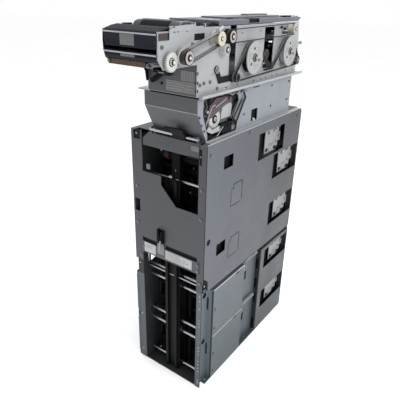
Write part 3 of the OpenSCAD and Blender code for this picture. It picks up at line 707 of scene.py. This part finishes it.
def nose_face():
    """Window and panel of the nose's face, and the ribs on its sloping top."""
    patch = Solid("nose_window", "glass_grey", bevel=0.15)
    patch.box((9, NOSE - 0.5, 904.5), (44, NOSE, 923.8))
    patch.prism("x", 9, 44, [(NOSE, 885), (NOSE - 0.4, 885), (NOSE - 0.4, 889.6), (NOSE, 889.6)])
    for x in (18, 27, 35):
        patch.box((x, NOSE - 0.8, 904.5), (x + 1.4, NOSE - 0.4, 923.8))
    Solid("nose_face_panel", "nose_face", bevel=0).box(
        (-30, NOSE - 0.35, 901.5), (94, NOSE, 926.5))
    top = [(-136.5, 930.1), (-122, 934.1), (-104.2, 936.6)]
    outline = []
    for (y0, z0), (y1, z1), ribs in zip(top, top[1:], (8, 9)):
        for i in range(ribs):
            t = i / ribs
            y, z = y0 + (y1 - y0) * t, z0 + (z1 - z0) * t
            outline += [(y, z + 0.1), (y + 0.4, z + 0.9), (y + 1.1, z + 0.9)]
    outline += [(-104.2, 936.8), (-104.2, 936.2), (-122, 933.8), (-136.5, 930.0)]
    Solid("nose_top_ribs", "groove_black", bevel=0).prism("x", -32, 94.5, outline)


def nose_end():
    """Cap, bright rim, and a dark box of painted shade in the gap at the nose's right end."""
    Solid("nose_end_cap", "cap_bronze").prism("x", PLATE, PLATE + 0.9, [
        (-136.5, 915.8), (-112, 915.8), (-112, 927.6), (-136.5, 927.6)])
    rim = Solid("nose_end_rim", "bright_steel", bevel=0.2)
    rim.box((96.8, -139, 928.4), (98.3, -110, 930.2))
    rim.box((96.8, -139, 884), (98, -137.6, 930))
    # painted shade in the gap
    Solid("nose_gap_shade", "deep_black", bevel=0.2).box((90, -111.6, 916), (97.6, -107.6, 935))


def nose_hood():
    """Rounded hood behind the nose, its edges, and painted shade filling the pocket in its top."""
    Solid("nose_hood_skin", "hood_dark_blue_sheen").prism("x", -12.6, 96.2, [
        (-84.6, 909), (-84.6, 934.3), (-78.4, 941.5), (-68.2, 944.6), (-47.8, 944.6),
        (-37.6, 940.5), (-31.4, 933.4), (-31.4, 929.4), (-34, 929.4), (-34, 909)])
    edges = Solid("nose_hood_edges", "cover_steel")
    edges.prism("x", -10, 60, [(-60, 944.6), (-46, 944.6), (-44, 945.8), (-58, 945.8)])
    edges.box((-32, -52, 934), (-14, -38, 939.5))
    edges.prism("x", 88, 96.8, [
        (-84, 934), (-78, 941), (-68, 945.2), (-48, 945.2), (-37, 941), (-31, 934),
        (-37, 938), (-48, 943), (-68, 943), (-78, 938)])
    Solid("nose_plate_lip", "plate_steel").prism("x", 96.4, 97.5, [
        (-104, 929), (-102, 934.5), (-92, 935.5), (-90, 938), (-60, 939.5), (-34, 939.5),
        (-28, 936), (-6, 936), (-4, 929)])
    # painted shade in the hood's pocket
    Solid("nose_hood_pocket_shade", "deep_black", bevel=0.2).prism("x", 6, 74, [
        (-83.5, 935.5), (-78.5, 942), (-71, 944.4), (-71, 944.9), (-78.8, 942.5),
        (-84.9, 935.5)])


def nose_below():
    """Ends of the copper strip, and the hooks and pins under the nose."""
    tips = Solid("copper_ends", "screw_steel", bevel=0.4)
    tips.box((-30.5, -136.0, 870.5), (-25, -132, 877))
    tips.rod((-27, -137.6, 873.5), (-27, -136, 873.5), 1.7)
    tips.prism("y", -133, -128, [(64.5, 868), (69, 867), (72, 870), (70, 875), (64.5, 875)])
    tips.rod((68, -136, 871), (68, -133, 871), 1.8)
    hooks = Solid("nose_hooks", "deep_black", bevel=0.4)
    hooks.prism("y", -29, -22.5, [
        (-20, 822), (-16, 820), (12, 838), (15, 845), (11, 849), (6, 846), (-20, 828)])
    hooks.prism("x", -33.5, -30, [(-46, 868), (-22, 868), (-22, 824), (-27, 822), (-30, 842)])
    hooks.box((60, -110, 858), (95, -96, 866))
    hooks.prism("x", 76, 95, [(-124, 866), (-96, 866), (-92, 856), (-104, 854)])
    pins = Solid("nose_hook_pins", "screw_steel", bevel=0.2)
    pins.rod((13, -30, 846), (13, -28.5, 846), 2.0)
    pins.rod((84, -122, 862), (95, -122, 862), 1.2)
    pins.box((-29, -25, 846), (4, -21.5, 862))


# ---- plates round the presenter ----


def plate_details():
    """Holes, bolts and pins of the presenter's right plate, as (y, z): the holes are dark discs
    of painted shade, the bolts' slots are painted shade, and the roller's well is filled with
    a dark box of painted shade.
    """
    slotted = [(-16, 905), (86, 922), (140, 918), (222, 918), (310, 836), (392, 914),
               (404, 828), (130, 850), (30, 842)]
    plain = [(48, 812), (0, 828), (22, 828), (66, 880)]
    # dark discs: painted shade in the plate's holes and slot
    dark = Solid("plate_hole_shade", "black_plastic", bevel=0)
    for y, z, radius in ((-93, 929, 2.2), (-83, 929, 1.8), (-56, 928.5, 1.4), (40, 927, 1.4)):
        dark.discs(PLATE, 0.25, radius, [(y, z)])
    dark.discs(PLATE, 0.25, 2.0, [
        (130, 808.5), (202, 809), (238, 808.5), (262, 809), (296, 809.5), (322, 810),
        (370, 814), (84, 808.5), (150, 820), (412, 812)])
    dark.box((PLATE, 248, 826), (PLATE + 0.2, 286, 830))
    # painted shade in the roller's well
    Solid("roller_well_shade", "black_plastic").box((80, -38, 908.5), (95, 3, 926))
    Solid("plate_bolts", "bright_steel").discs(
        PLATE, 1.6, 2.6, slotted + plain, far=2.2)
    # painted shade in the bolts' slots, and pins
    pins = Solid("bolt_slot_shade_and_pins", "dark_steel", bevel=0)
    pins.slabs("x", PLATE + 1.5, PLATE + 1.75, [
        (y - 1.7, y + 1.7, z - 0.4, z + 0.4) for y, z in slotted])
    pins.discs(PLATE, 4, 3.4, [(323, 922), (341, 918)])


def presenter_top():
    """Rods, spring and small blocks in the open top between the nose and the cover."""
    rods = Solid("top_rods", "bright_steel")
    rods.rod((90, -74, 938.5), (90, -46, 938.5), 2.2)
    rods.rod((90, -44, 938.5), (90, -34, 938.5), 4.2)
    rods.rod((-30, -20, 936.5), (90, -20, 936.5), 2.0)
    rods.rod((-30, 34, 936), (80, 34, 936), 1.6)
    rods.box((82, -30, 933), (95, -27, 942))
    rods.box((86, 2, 933), (95, 6, 940))
    rods.prism("x", 93.5, 95, [(-104, 933), (-70, 933), (-72, 938), (-102, 938)])
    coil_r, angle, rise = 3.3, 1.05, 0.62
    coil = [(90 + coil_r * math.cos(i * angle), -30 + i * rise,
             938.5 + coil_r * math.sin(i * angle)) for i in range(70)]
    Solid("top_spring", "dark_steel", bevel=0).wire(coil, 0.55, 6, 2)
    blocks = Solid("top_blocks", "black_plastic", bevel=0.6)
    blocks.box((-32, -100, 909), (-14, -30, 934))
    blocks.box((-32, -92, 934), (-22, -74, 938))
    blocks.box((56, 10, 933), (78, 30, 939))
    blocks.box((-20, 2, 933), (8, 18, 937.5))
    blocks.box((30, -14, 933), (44, 0, 938))
    blocks.prism("x", 60, 90, [(14, 933), (46, 933), (44, 940.5), (30, 940.5)])
    Solid("top_socket", "white_plastic", bevel=0.4).box((-26, -32, 934), (-18, -26, 939))
    flap = Solid("front_flap", "cover_steel")
    flap.box((-24, -12, 933.1), (28, 30, 934.4))
    flap.box((-24, 28, 934.4), (54, 30, 938.5))


def presenter_side():
    """Lever and bracket ring on the right, and what shows in the gap between the plates, in
    front of a black sheet of painted shade.
    """
    Solid("roller_lever", "white_plastic", bevel=0.4).prism("x", PLATE + 0.4, PLATE + 2.6, [
        (44, 922), (48, 930), (58, 934.5), (66, 932), (60, 929.5), (52, 926), (50, 920)])
    y, z = 43.5, 850
    ring = Solid("bracket_ring", "bright_steel", bevel=0.2)
    ring.ring(99.5, 100.6, y, z, 7.2, 5.4)
    ring.ring(100.0, 101.6, y, z, 3.6, 2.35)
    # black sheet of painted shade behind the gap
    Solid("gap_back_shade", "deep_black").slabs("y", 330, 333, [
        (-31, 94, 828, 884), (-31, 94, 913.5, 931), (-31, 61, 884, 892.5), (72, 94, 884, 892.5),
        (-31, 66, 908.5, 913.5), (74, 94, 908.5, 913.5)])
    rollers = Solid("gap_rollers", "groove_black", bevel=0.6)
    rollers.rod((16, 268, 862), (92, 268, 862), 13)
    rollers.rod((16, 300, 838), (92, 300, 838), 9)
    rollers.box((20, 244, 826), (90, 322, 836))
    bits = Solid("gap_bits", "pale_plastic", bevel=0.4)
    bits.rod((74, 332, 909), (78, 332, 909), 4.5)
    bits.rod((74, 322, 922), (78, 322, 922), 3.0)
    bits.box((76, 300, 876), (79, 318, 882))
    bits.box((60, 254, 840), (92, 262, 844))


def presenter_ends():
    """Clips at the front corner of the presenter, and the pin at its back."""
    clips = Solid("front_corner_clips", "black_plastic")
    clips.slabs("y", -22.6, -19, [(93, 97.5, z, z + 6) for z in (812, 828, 846)])
    clips.rod((4, -21, 820), (4, -20, 820), 3.4)
    tail = Solid("rear_pin", "bright_steel")
    tail.rod((97, 436, 879), (97, 449, 879), 2.0)
    tail.rod((97, 446, 879), (97, 450, 879), 4.0)
    tail.box((86, 424, 876), (96, 440, 882))


def box_labels():
    """Blank frames and lines on the two labels of the presenter's front plate, and a dark strip
    of painted shadow on the lower part of the flange's front edge.
    """
    face = UNIT_FRONT - 0.4
    lines = Solid("box_label_lines", "pale_plastic", bevel=0)
    for x0, x1, z0, z1 in ((55, 89, 832, 851), (16, 90, 808, 829)):
        lines.slabs("y", face, face + 0.08, [
            (x0, x1, z0, z0 + 0.9), (x0, x1, z1 - 0.9, z1),
            (x0, x0 + 0.9, z0, z1), (x1 - 0.9, x1, z0, z1)])
    lines.slabs("y", face, face + 0.08, [(x, x + 0.8, 834, 849) for x in range(59, 87, 4)])
    lines.slabs("y", face, face + 0.08, [(x0, x1, z, z + 1.0) for x0, x1, z in (
        (18, 60, 823.5), (18, 64, 818), (18, 58, 812.5), (66, 88, 822), (66, 86, 815))])
    # painted shadow on the lower part of the flange's front edge
    Solid("flange_edge_shadow", "deep_black", bevel=0).box(
        (-30, face + 0.1, 799), (101, face + 0.38, 802))


def cover():
    """Pieces on the hinged cover."""
    top = 943
    Solid("cover_film", "olive_film", "cover", 0.1).box((16, 262, 946), (45, 350, 946.35))
    edges = Solid("cover_edges", "bright_steel", "cover", 0.2)
    edges.slabs("z", top, top + 0.9, [(92.6, 94.6, 52, 166), (92.6, 94.6, 216, 428)])
    edges.rod((40, 56, 944.2), (92, 56, 944.2), 1.2)
    edges.box((-32.5, 52, top), (94.6, 53.2, top + 1.2))
    blocks = Solid("cover_blocks", "black_plastic", "cover", 0.5)
    blocks.box((78, 352, top), (92, 384, 947.6))
    blocks.box((60, 166, 932.5), (92, 224, 944.5))
    blocks.box((48, 60, top), (80, 64, 944.6))
    blocks.box((48, 150, top), (62, 158, 945.4))
    blocks.box((50, 404, top), (60, 426, 945.4))
    bracket = Solid("cover_bracket", "bright_steel", "cover", 0.4)
    bracket.prism("x", 84, 92, [(386, top), (414, top), (410, 946), (396, 948.4), (388, 948.4)])
    bracket.rod((80, 420, 945.2), (94, 420, 945.2), 2.2)
    Solid("cover_seams", "groove_black", "cover", 0).slabs("z", top, top + 0.25, [
        (47, 48.4, 66, 400), (-20, 40, 84, 85.4), (-20, 78, 140, 141.2)])


# ---- note transport ----


def gate_opening():
    """Plates, rings and rods seen in the opening beside the gate."""
    Solid("transport_block", "pale_plastic", bevel=0.6).prism("x", 74, 85, [
        (86, 736), (128, 736), (132, 762), (126, 768), (92, 766)])
    y, z = centre("gate_gear")
    Solid("gate_ring", "black_plastic", "gate_wheel", 0.4).ring(82, 83.4, y, z, 9.5, 5.1)
    Solid("gate_gear_rim", "white_plastic", "gate_wheel", 0.3).ring(
        82, 83.2, y, z, 19.5, 16.5)
    post = Solid("transport_post", "unit_steel", bevel=0.4)
    post.prism("x", 89, 91, [(122, 704), (152, 704), (158, 722), (194, 775), (180, 797),
                             (142, 796), (152, 770), (132, 738)])
    post.prism("x", 91, 93, [(128, 724), (136, 724), (170, 772), (166, 778)])
    Solid("post_rod", "cap_bronze", bevel=0.4).rod((94, 128, 730), (94, 164, 772), 2.2)
    thin = Solid("transport_rods", "pale_plastic", bevel=0.2)
    thin.rod((94, 60, 704), (94, 84, 722), 1.0)
    thin.rod((93.5, 16, 736), (93.5, 38, 774), 1.0)
    thin.rod((93.5, 38, 774), (93.5, 50, 776), 1.0)
    thin.rod((93.8, 52, 770), (93.8, 96, 784), 1.0)
    thin.rod((84, 30, 740), (94, 30, 740), 2.0)
    thin.prism("x", 91, 93.5, [(20, 724), (40, 714), (70, 714), (78, 722), (70, 726), (44, 722),
                               (28, 732)])
    thin.rod((60, 148, 788), (94, 148, 788), 4.2)
    thin.rod((60, 26, 764), (92, 26, 764), 3.2)


def gate_wires():
    """Hooks and loose wires in the same opening."""
    hooks = Solid("transport_hooks", "unit_steel", bevel=0)
    hooks.wire([(97.5, 134, 796), (99, 146, 799), (99, 162, 797), (98, 176, 788)], 1.6)
    hooks.wire([(97.5, 128, 790), (98.5, 140, 786), (98.5, 152, 790), (97.5, 160, 796)], 1.2)
    hooks.wire([(97.5, 100, 796), (98.5, 108, 790), (98, 118, 792)], 1.4)
    tangle = Solid("transport_wires", "black_plastic", bevel=0)
    for i in range(8):
        y = 74 + i * 8
        tangle.wire([(82 + i % 3 * 4, y, 704), (90, y - 6 + i % 2 * 9, 716),
                     (95 - i % 3, y + 9, 728 - i % 2 * 6), (86, y + 17, 712)], 2.2)
    tangle.box((60, 16, 702), (93, 40, 712))
    tangle.box((80, 84, 703), (92, 124, 726))
    tangle.wire([(92, 8, 790), (94, 14, 778), (92, 10, 768), (94, 18, 760)], 1.6)
    tangle.wire([(92, 92, 794), (94, 104, 786), (93, 118, 790), (94, 130, 780)], 2.0)
    tangle.wire([(92, 66, 792), (94, 78, 790), (93, 88, 794)], 1.6)
    tangle.wire([(92, 150, 786), (93, 166, 790), (92, 182, 782), (90, 186, 770)], 1.6)
    green = Solid("sensor_wires", "wire_green", bevel=0)
    for i in range(3):
        green.wire([(90, 8 + i * 5, 788), (93, 13 + i * 4, 776), (91, 8 + i * 6, 766),
                    (93, 14 + i * 3, 756)], 0.8)


def transport_plates():
    """Bolts, slot and folds of the note transport's plates: a dark box of painted shade fills
    the slot, and the folds carry painted highlights.
    """
    Solid("transport_red", "red_rubber", bevel=0.5).box((82, 44, 780), (85.5, 62, 792))
    Solid("transport_bolts", "dark_steel").discs(PLATE, 1.4, 2.4, [
        (-12, 760), (-4, 742), (6, 728), (168, 735), (301, 785), (401, 783), (394, 735),
        (303, 732)])
    # painted shade in the slot
    Solid("transport_slot_shade", "deep_black").box((80, 200, 706), (92, 238, 743))
    Solid("slot_bit", "white_plastic", bevel=0.4).rod((90, 222, 712), (96, 222, 712), 3.4)
    # painted highlights on the folds
    folds = Solid("fold_highlights", "pale_steel_and_highlight")
    folds.box((PLATE, 14, ROOF + 0.2), (PLATE + 1.2, 415, ROOF + 1.2))
    folds.rod((-45, -19.7, 768), (96.5, -19.7, 768), 0.7)


# ---- tower front ----


def front_fittings():
    """Marker, wire, clip, tab and label lines on the tower's front, and dark boxes and a disc of
    painted shade in its gaps and a hole.
    """
    Solid("green_marker", "marker_green", bevel=0.15).rod(
        (9, -2.9, 682), (9, -2.4, 682), 6.0)
    Solid("earth_wire", "wire_white", bevel=0).wire([
        (-20.6, -9.2, 399), (-19.7, -9.2, 408), (-18.8, -9.2, 417), (-17.6, -9.2, 428)],
        1.8)
    Solid("clip_prongs", "deep_black").prism("y", -8.5, -6, [
        (-30, 428), (-25, 420), (-17, 420), (-12, 428), (-13, 455), (-16.5, 455),
        (-20.5, 430), (-24.5, 455), (-28.5, 455)])
    Solid("bar_tab", "unit_steel").prism("y", -2.6, -1.5, [
        (-33, 384), (-11, 384), (-11, 412), (-16, 417), (-28, 417), (-33, 412)])
    lines = Solid("label_lines", "label_print", bevel=0)
    lines.slabs("y", -2.0, -1.8, [(-3, end, z, z + 1.4) for z, end in (
        (396.5, 40), (391, 58), (385.5, 66), (380, 52))])
    lines.slabs("y", -2.0, -1.8, [(-74, end, z, z + 1.2) for z, end in ((395, -48), (389, -52))])
    # painted shade in gaps and a hole
    dark = Solid("front_gap_shade", "black_plastic")
    dark.box((-106, 2, 674), (-80, 6, 698.4))
    dark.box((91.5, -0.5, 652), (97.5, 0.6, 688))
    dark.rod((109.1, 15.5, 458), (109.7, 15.5, 458), 9)
    dark.box((-29, 1.6, 421), (-13, 4, 454))
    dark.box((-86, 2, 404.5), (90, 4, 415.5))
    dark.box((60, -2.6, 664), (90, -1.9, 668))
    Solid("cross_bar_end", "print_grey").box((70, -3.2, 682), (90, -2, 694))


def reject_window():
    """What shows in the tower's upper window, with small bright boxes as painted glints, in front
    of a black sheet of painted shade.
    """
    bits = Solid("front_bits", "print_grey", bevel=0.4)
    bits.box((-67, 2, 606), (-57, 6, 619))
    bits.rod((94.5, -1.4, 672), (94.5, -0.3, 672), 2.2)
    bits.rod((-95, 0.2, 690), (-95, 4, 690), 3.2)
    bits.prism("y", 30, 33, [(-48, 652), (-40, 662), (-24, 664), (-20, 659), (-36, 656),
                             (-44, 648)])
    bits.rod((-5, 40, 566), (-5, 46, 566), 6)
    dark = Solid("reject_mechanism", "deep_black", bevel=0.8)
    dark.box((-8, 26, 560), (16, 46, 688))
    dark.box((42, 58, 560), (54, 70, 688))
    dark.rod((-60, 52, 638), (70, 52, 638), 11)
    dark.rod((-60, 70, 600), (80, 70, 600), 8)
    dark.box((-84, 80, 560), (88, 84, 640))
    dark.box((62, 40, 600), (72, 60, 676))
    Solid("reject_rollers", "red_rubber", bevel=0.6).rod((-44, 52, 638), (-30, 52, 638), 13)
    # black sheet of painted shade behind the window
    Solid("reject_back_shade", "deep_black", bevel=0.6).box((-84, 92, 603), (88, 94, 688))
    glints = Solid("reject_glints", "screw_steel", bevel=0.4)
    for x, y, z in ((22, 50, 640), (58, 38, 664), (66, 38, 628), (30, 60, 610), (76, 38, 606),
                    (44, 48, 650), (4, 24, 610), (36, 40, 556), (60, 44, 566), (12, 24, 660)):
        glints.box((x, y, z), (x + 2.5, y + 3, z + 5))
    latch = Solid("latch_block", "black_plastic", bevel=0.6)
    latch.box((12, 8, ROOF + 0.2), (66, 22, 716))
    latch.prism("x", 30, 44, [(22, 701), (36, 701), (34, 716), (26, 724), (20, 716)])


def bays():
    """Rods, wall frames, holes in the left wall drawn dark as painted shade, and dark mechanism
    inside the cassette bays.
    """
    Solid("bay_front_rods", "bright_steel", bevel=0.2).rod(
        (-84.5, 22, 318), (89.5, 22, 318), 2.4)
    wall = LEFT_WALL + 0.2
    frames = Solid("left_wall_frames", "dark_floor", bevel=0.4)
    # painted shade in the left wall's holes
    holes = Solid("left_wall_hole_shade", "black_plastic")
    for z in (0, BAY):
        frames.box((wall, 66, z + 30), (-82.5, 70, z + 118))
        frames.prism("x", wall, -82.5, [(70, z + 30), (150, z + 34), (150, z + 38), (70, z + 34)])
        frames.prism("x", wall, -82, [(20, z + 12), (64, z + 18), (64, z + 21), (20, z + 15)])
        holes.prism("x", LEFT_WALL + 0.1, LEFT_WALL + 0.8, [
            (72, z + 40), (118, z + 42), (122, z + 50), (122, z + 96), (112, z + 106),
            (78, z + 104), (72, z + 98)])
    deep = Solid("bay_mechanism", "black_plastic", bevel=0.8)
    for z in (0, BAY, 2 * BAY, 3 * BAY):
        deep.rod((-83, 62, z + 96), (88, 62, z + 96), 5)
        deep.rod((-83, 66, z + 44), (88, 66, z + 44), 4)
        deep.slabs("y", 55, 60, [(26, 34, z + 20, z + 140), (-44, -36, z + 20, z + 140)])


# ---- tower side ----


def tower_edges():
    """Painted highlights along the roof edge and on small bits, a paler sheet of painted light on
    the roof flange, dark seams along the panels' edges, and painted shade in the recesses
    under the side casing, at its front corner and at the back.
    """
    # painted highlights on the roof edge and small bits
    bright = Solid("roof_edge_highlight", "pale_steel_and_highlight", bevel=0.2)
    bright.box((110.2, 2, 699.2), (111.9, 461, 700.3))
    bright.rod((109.8, 6, 338), (110.6, 6, 338), 2.2)
    bright.box((110, 2, 324), (110.6, 12, 325.4))
    # painted light: a paler sheet on the roof flange, which the unit shades
    Solid("roof_flange_painted_light", "plate_steel", bevel=0).box(
        (98.4, 16, ROOF), (110, 462, ROOF + 0.2))
    # dark seams, and painted shade in recesses
    dark = Solid("panel_seams_and_shade", "deep_black", bevel=0)
    dark.slabs("y", -0.15, 0.4, [
        (110.4, 111.65, 346, 698), (107.2, 108.1, 2, 314), (-105.8, -105.2, 22, 290)])
    dark.box((92.2, 469.5, 4), (94.3, 475, 690))
    dark.box((98, 301.6, 303.4), (109.8, 476, 315.6))
    dark.box((98, 1, 319), (110, 18, 344))
    dark.prism("x", 111.48, 111.64, [(0.4, 346), (0.4, 362), (15, 349.5), (15, 346)])
    dark.box((110.6, -0.14, 346), (111.6, 0.4, 364))


def rivets():
    """Rivets on the front strips, at their heights."""
    dots = Solid("strip_rivets", "bright_steel", bevel=0)
    for z in (16, 24, 58, 70, 82, 94, 118, 130, 142, 212, 222, 232, 268, 292, 306):
        dots.rod((101.5, -0.7, z), (101.5, 0.1, z), 1.3, far=1.6)
    for z in (30, 160, 330):
        dots.rod((-97, -0.7, z), (-97, 0.1, z), 1.5, far=1.8)


def cover_details():
    """Fold lines, notches and clips of the two front side covers: painted highlights on the
    folds, dark plates of painted shade in notches, slots and holes, and a dark seam.
    """
    # painted highlights on the pockets' top edges and ledges
    bright = Solid("cover_fold_highlights", "pale_steel_and_highlight", bevel=0.2)
    # painted shade in notches, slots and holes, and a dark seam
    dark = Solid("cover_notch_shade_and_seam", "deep_black", bevel=0)
    clips = Solid("cover_clips", "pale_steel_and_highlight")
    for top in COVER_TOPS:
        bright.box((110.2, 50.4, top - 2.4), (111.9, 203.6, top + 0.3))
        bright.slabs("z", top, top + 1.0, [(x, x + 1.8, 214, 284) for x in (98.5, 102.5, 106)])
        dark.box((SIDE, 158, top - 8), (SIDE + 0.4, 173, top - 2.2))
        dark.slabs("x", SIDE, SIDE + 0.15, [
            (56, 60, top - 70, top - 60), (56, 60, top - 132, top - 124)])
        clips.box((97, 214, top - 40), (98.8, 221, top - 2))
        dark.slabs("x", 97, 97.3, [
            (226, 240.4, top - 73, top - 44), (215, 222, top - 98, top - 86)])
    dark.box((109, 50.4, 149.6), (111.6, 203.6, 151.4))
    dark.box((93, 28, 60), (95, 60, 130))


def knockouts():
    """Lines of the two stepped knock-outs in the side panel, over its slits."""
    y = 106
    cuts = Solid("knockout_cuts", "deep_black", bevel=0)
    for z in KNOCKOUTS:
        cuts.slabs("x", SIDE - 0.02, SIDE + 0.12, [
            (y - 0.3, y + 46, z, z + 1.5), (y + 10, y + 50, z + 56.2, z + 58.2),
            (y - 0.4, y + 1.2, z + 4, z + 42), (y + 50.2, y + 52.4, z + 4, z + 57),
            (y, y + 11, z + 45.6, z + 47.6), (y + 10, y + 12, z + 46, z + 57)])


def cover_pockets():
    """Walls, bent trims and hinges in the step between the front and rear covers. Sheets of
    painted shade lie on the pockets' front walls and on the step, and dark sheets of painted
    shade lie inside the side panel behind the knock-outs and two other places.
    """
    # painted shade on the pockets' front walls
    walls = Solid("pocket_front_shade", "bay_steel_left_and_shade", bevel=0)
    for z in (3, 152.6):
        walls.prism("z", z, z + 145.8, [(97.2, 43), (97.4, 42.6), (111.4, 49.3), (111.2, 49.7)])
    strip = Solid("cover_trims", "pale_steel_and_highlight", bevel=0)
    for top in COVER_TOPS:
        strip.wire([(111.8, 202, top - 2), (110.2, 206, top - 12), (111.0, 203.6, top - 20),
                    (108.4, 207, top - 28), (109.6, 204.6, top - 36)], 0.9)
        strip.wire([(104, 216, top + 1), (104, 240, top + 2.6), (104, 262, top + 1),
                    (104, 286, top + 2.6)], 0.9)
    Solid("rear_cover_hinges", "deep_black", bevel=0.2).slabs("y", 298.6, 299.3, [
        (98, 106, z, z + 34) for z in (12, 110, 165, 235)])
    # painted shade on the step
    Solid("rear_cover_step_shade", "bay_steel_left_and_shade", bevel=0.2).slabs("y", 299.2, 299.9, [
        (97.4, 109.6, 3, 150), (97.4, 109.6, 152, 303)])
    # painted shade inside the side panel
    back = Solid("panel_backing_shade", "deep_black", bevel=0)
    back.slabs("x", 108.4, 109.6, [(102, 162, z - 4, z + 62) for z in KNOCKOUTS])
    back.slabs("x", 99, 101, [(66, 110, 622, 660), (48, 94, 400, 438)])


def boards():
    """Parts on the sensor board behind each side window."""
    face = 100
    chips = Solid("board_chips", "black_plastic", bevel=0.25)
    pale = Solid("board_sockets", "pale_plastic")
    pins = Solid("board_pins", "dark_steel", bevel=0.15)
    for lo, hi in solids("sensor_plates"):
        (_, y, z), (_, back, top) = lo, hi
        chips.box((face, y + 6, z + 6), (face + 1.6, y + 16, z + 14))
        chips.box((face, back - 34, z + 3), (face + 2.2, back - 24, z + 9))
        chips.box((face, back - 9, top - 22), (face + 2, back - 3, top - 10))
        pale.box((face, y + 26, z + 5), (face + 2, y + 38, z + 9))
        chips.box((face, y + 52, z + 4), (face + 2, y + 60, z + 12))
        for i in range(4):
            pin_y, pin_z = y + 24 + i * 7, z + 20 + 3 * (i % 2)
            pins.rod((face, pin_y, pin_z), (face + 1.2, pin_y, pin_z), 1.2, 12)
        pins.ring(face, face + 0.8, y + 18, top - 14, 4.4, 2.2, 24)
        pins.ring(face, face + 0.8, back - 30, top - 10, 3.6, 1.8, 24)


# ---- studio ----


def lamp(name, place, target, size, power):
    """Square soft lamp that faces a point."""
    data = bpy.data.lights.new(name, "AREA")
    data.size = size
    data.energy = power
    obj = bpy.data.objects.new(name, data)
    bpy.context.scene.collection.objects.link(obj)
    obj.location = place
    obj.rotation_euler = (Vector(target) - Vector(place)).to_track_quat("-Z", "Y").to_euler()


def studio():
    """White surroundings, pale floor and two lamps."""
    world = bpy.data.worlds.new("world")
    bpy.context.scene.world = world
    world.use_nodes = True
    background = world.node_tree.nodes["Background"]
    background.inputs["Color"].default_value = (1.0, 1.0, 1.0, 1)
    background.inputs["Strength"].default_value = 1.0

    bpy.ops.mesh.primitive_plane_add(size=60, location=(0, 0, cad_box[0][2] - 0.0005))
    floor = bpy.context.object
    floor.name = "floor"
    n = Nodes("floor_pale")
    n.colour(n.two_tone(n.noise(2.0, 3.0), (0.97, 0.97, 0.97), (0.99, 0.99, 0.99)))
    n.shader.inputs["Roughness"].default_value = 0.9
    floor.data.materials.append(MATERIALS["floor_pale"])

    lamp("key", (2.2, -0.3, 1.9), (0, 0, 0.5), 1.4, 55)
    lamp("top", (-0.2, 0.0, 2.8), (0, 0, 0.6), 2.0, 30)
    bpy.context.scene.view_settings.view_transform = "Standard"


camera()
dress_cad()
for make in (screw_recesses, wheels, nose_face, nose_end, nose_hood, nose_below, plate_details,
             presenter_top, presenter_side, presenter_ends, cover, gate_opening, gate_wires,
             transport_plates, front_fittings, reject_window, bays, tower_edges, rivets,
             box_labels, cover_details, knockouts, cover_pockets, boards):
    make()
for piece in PIECES:
    piece.build()
studio()
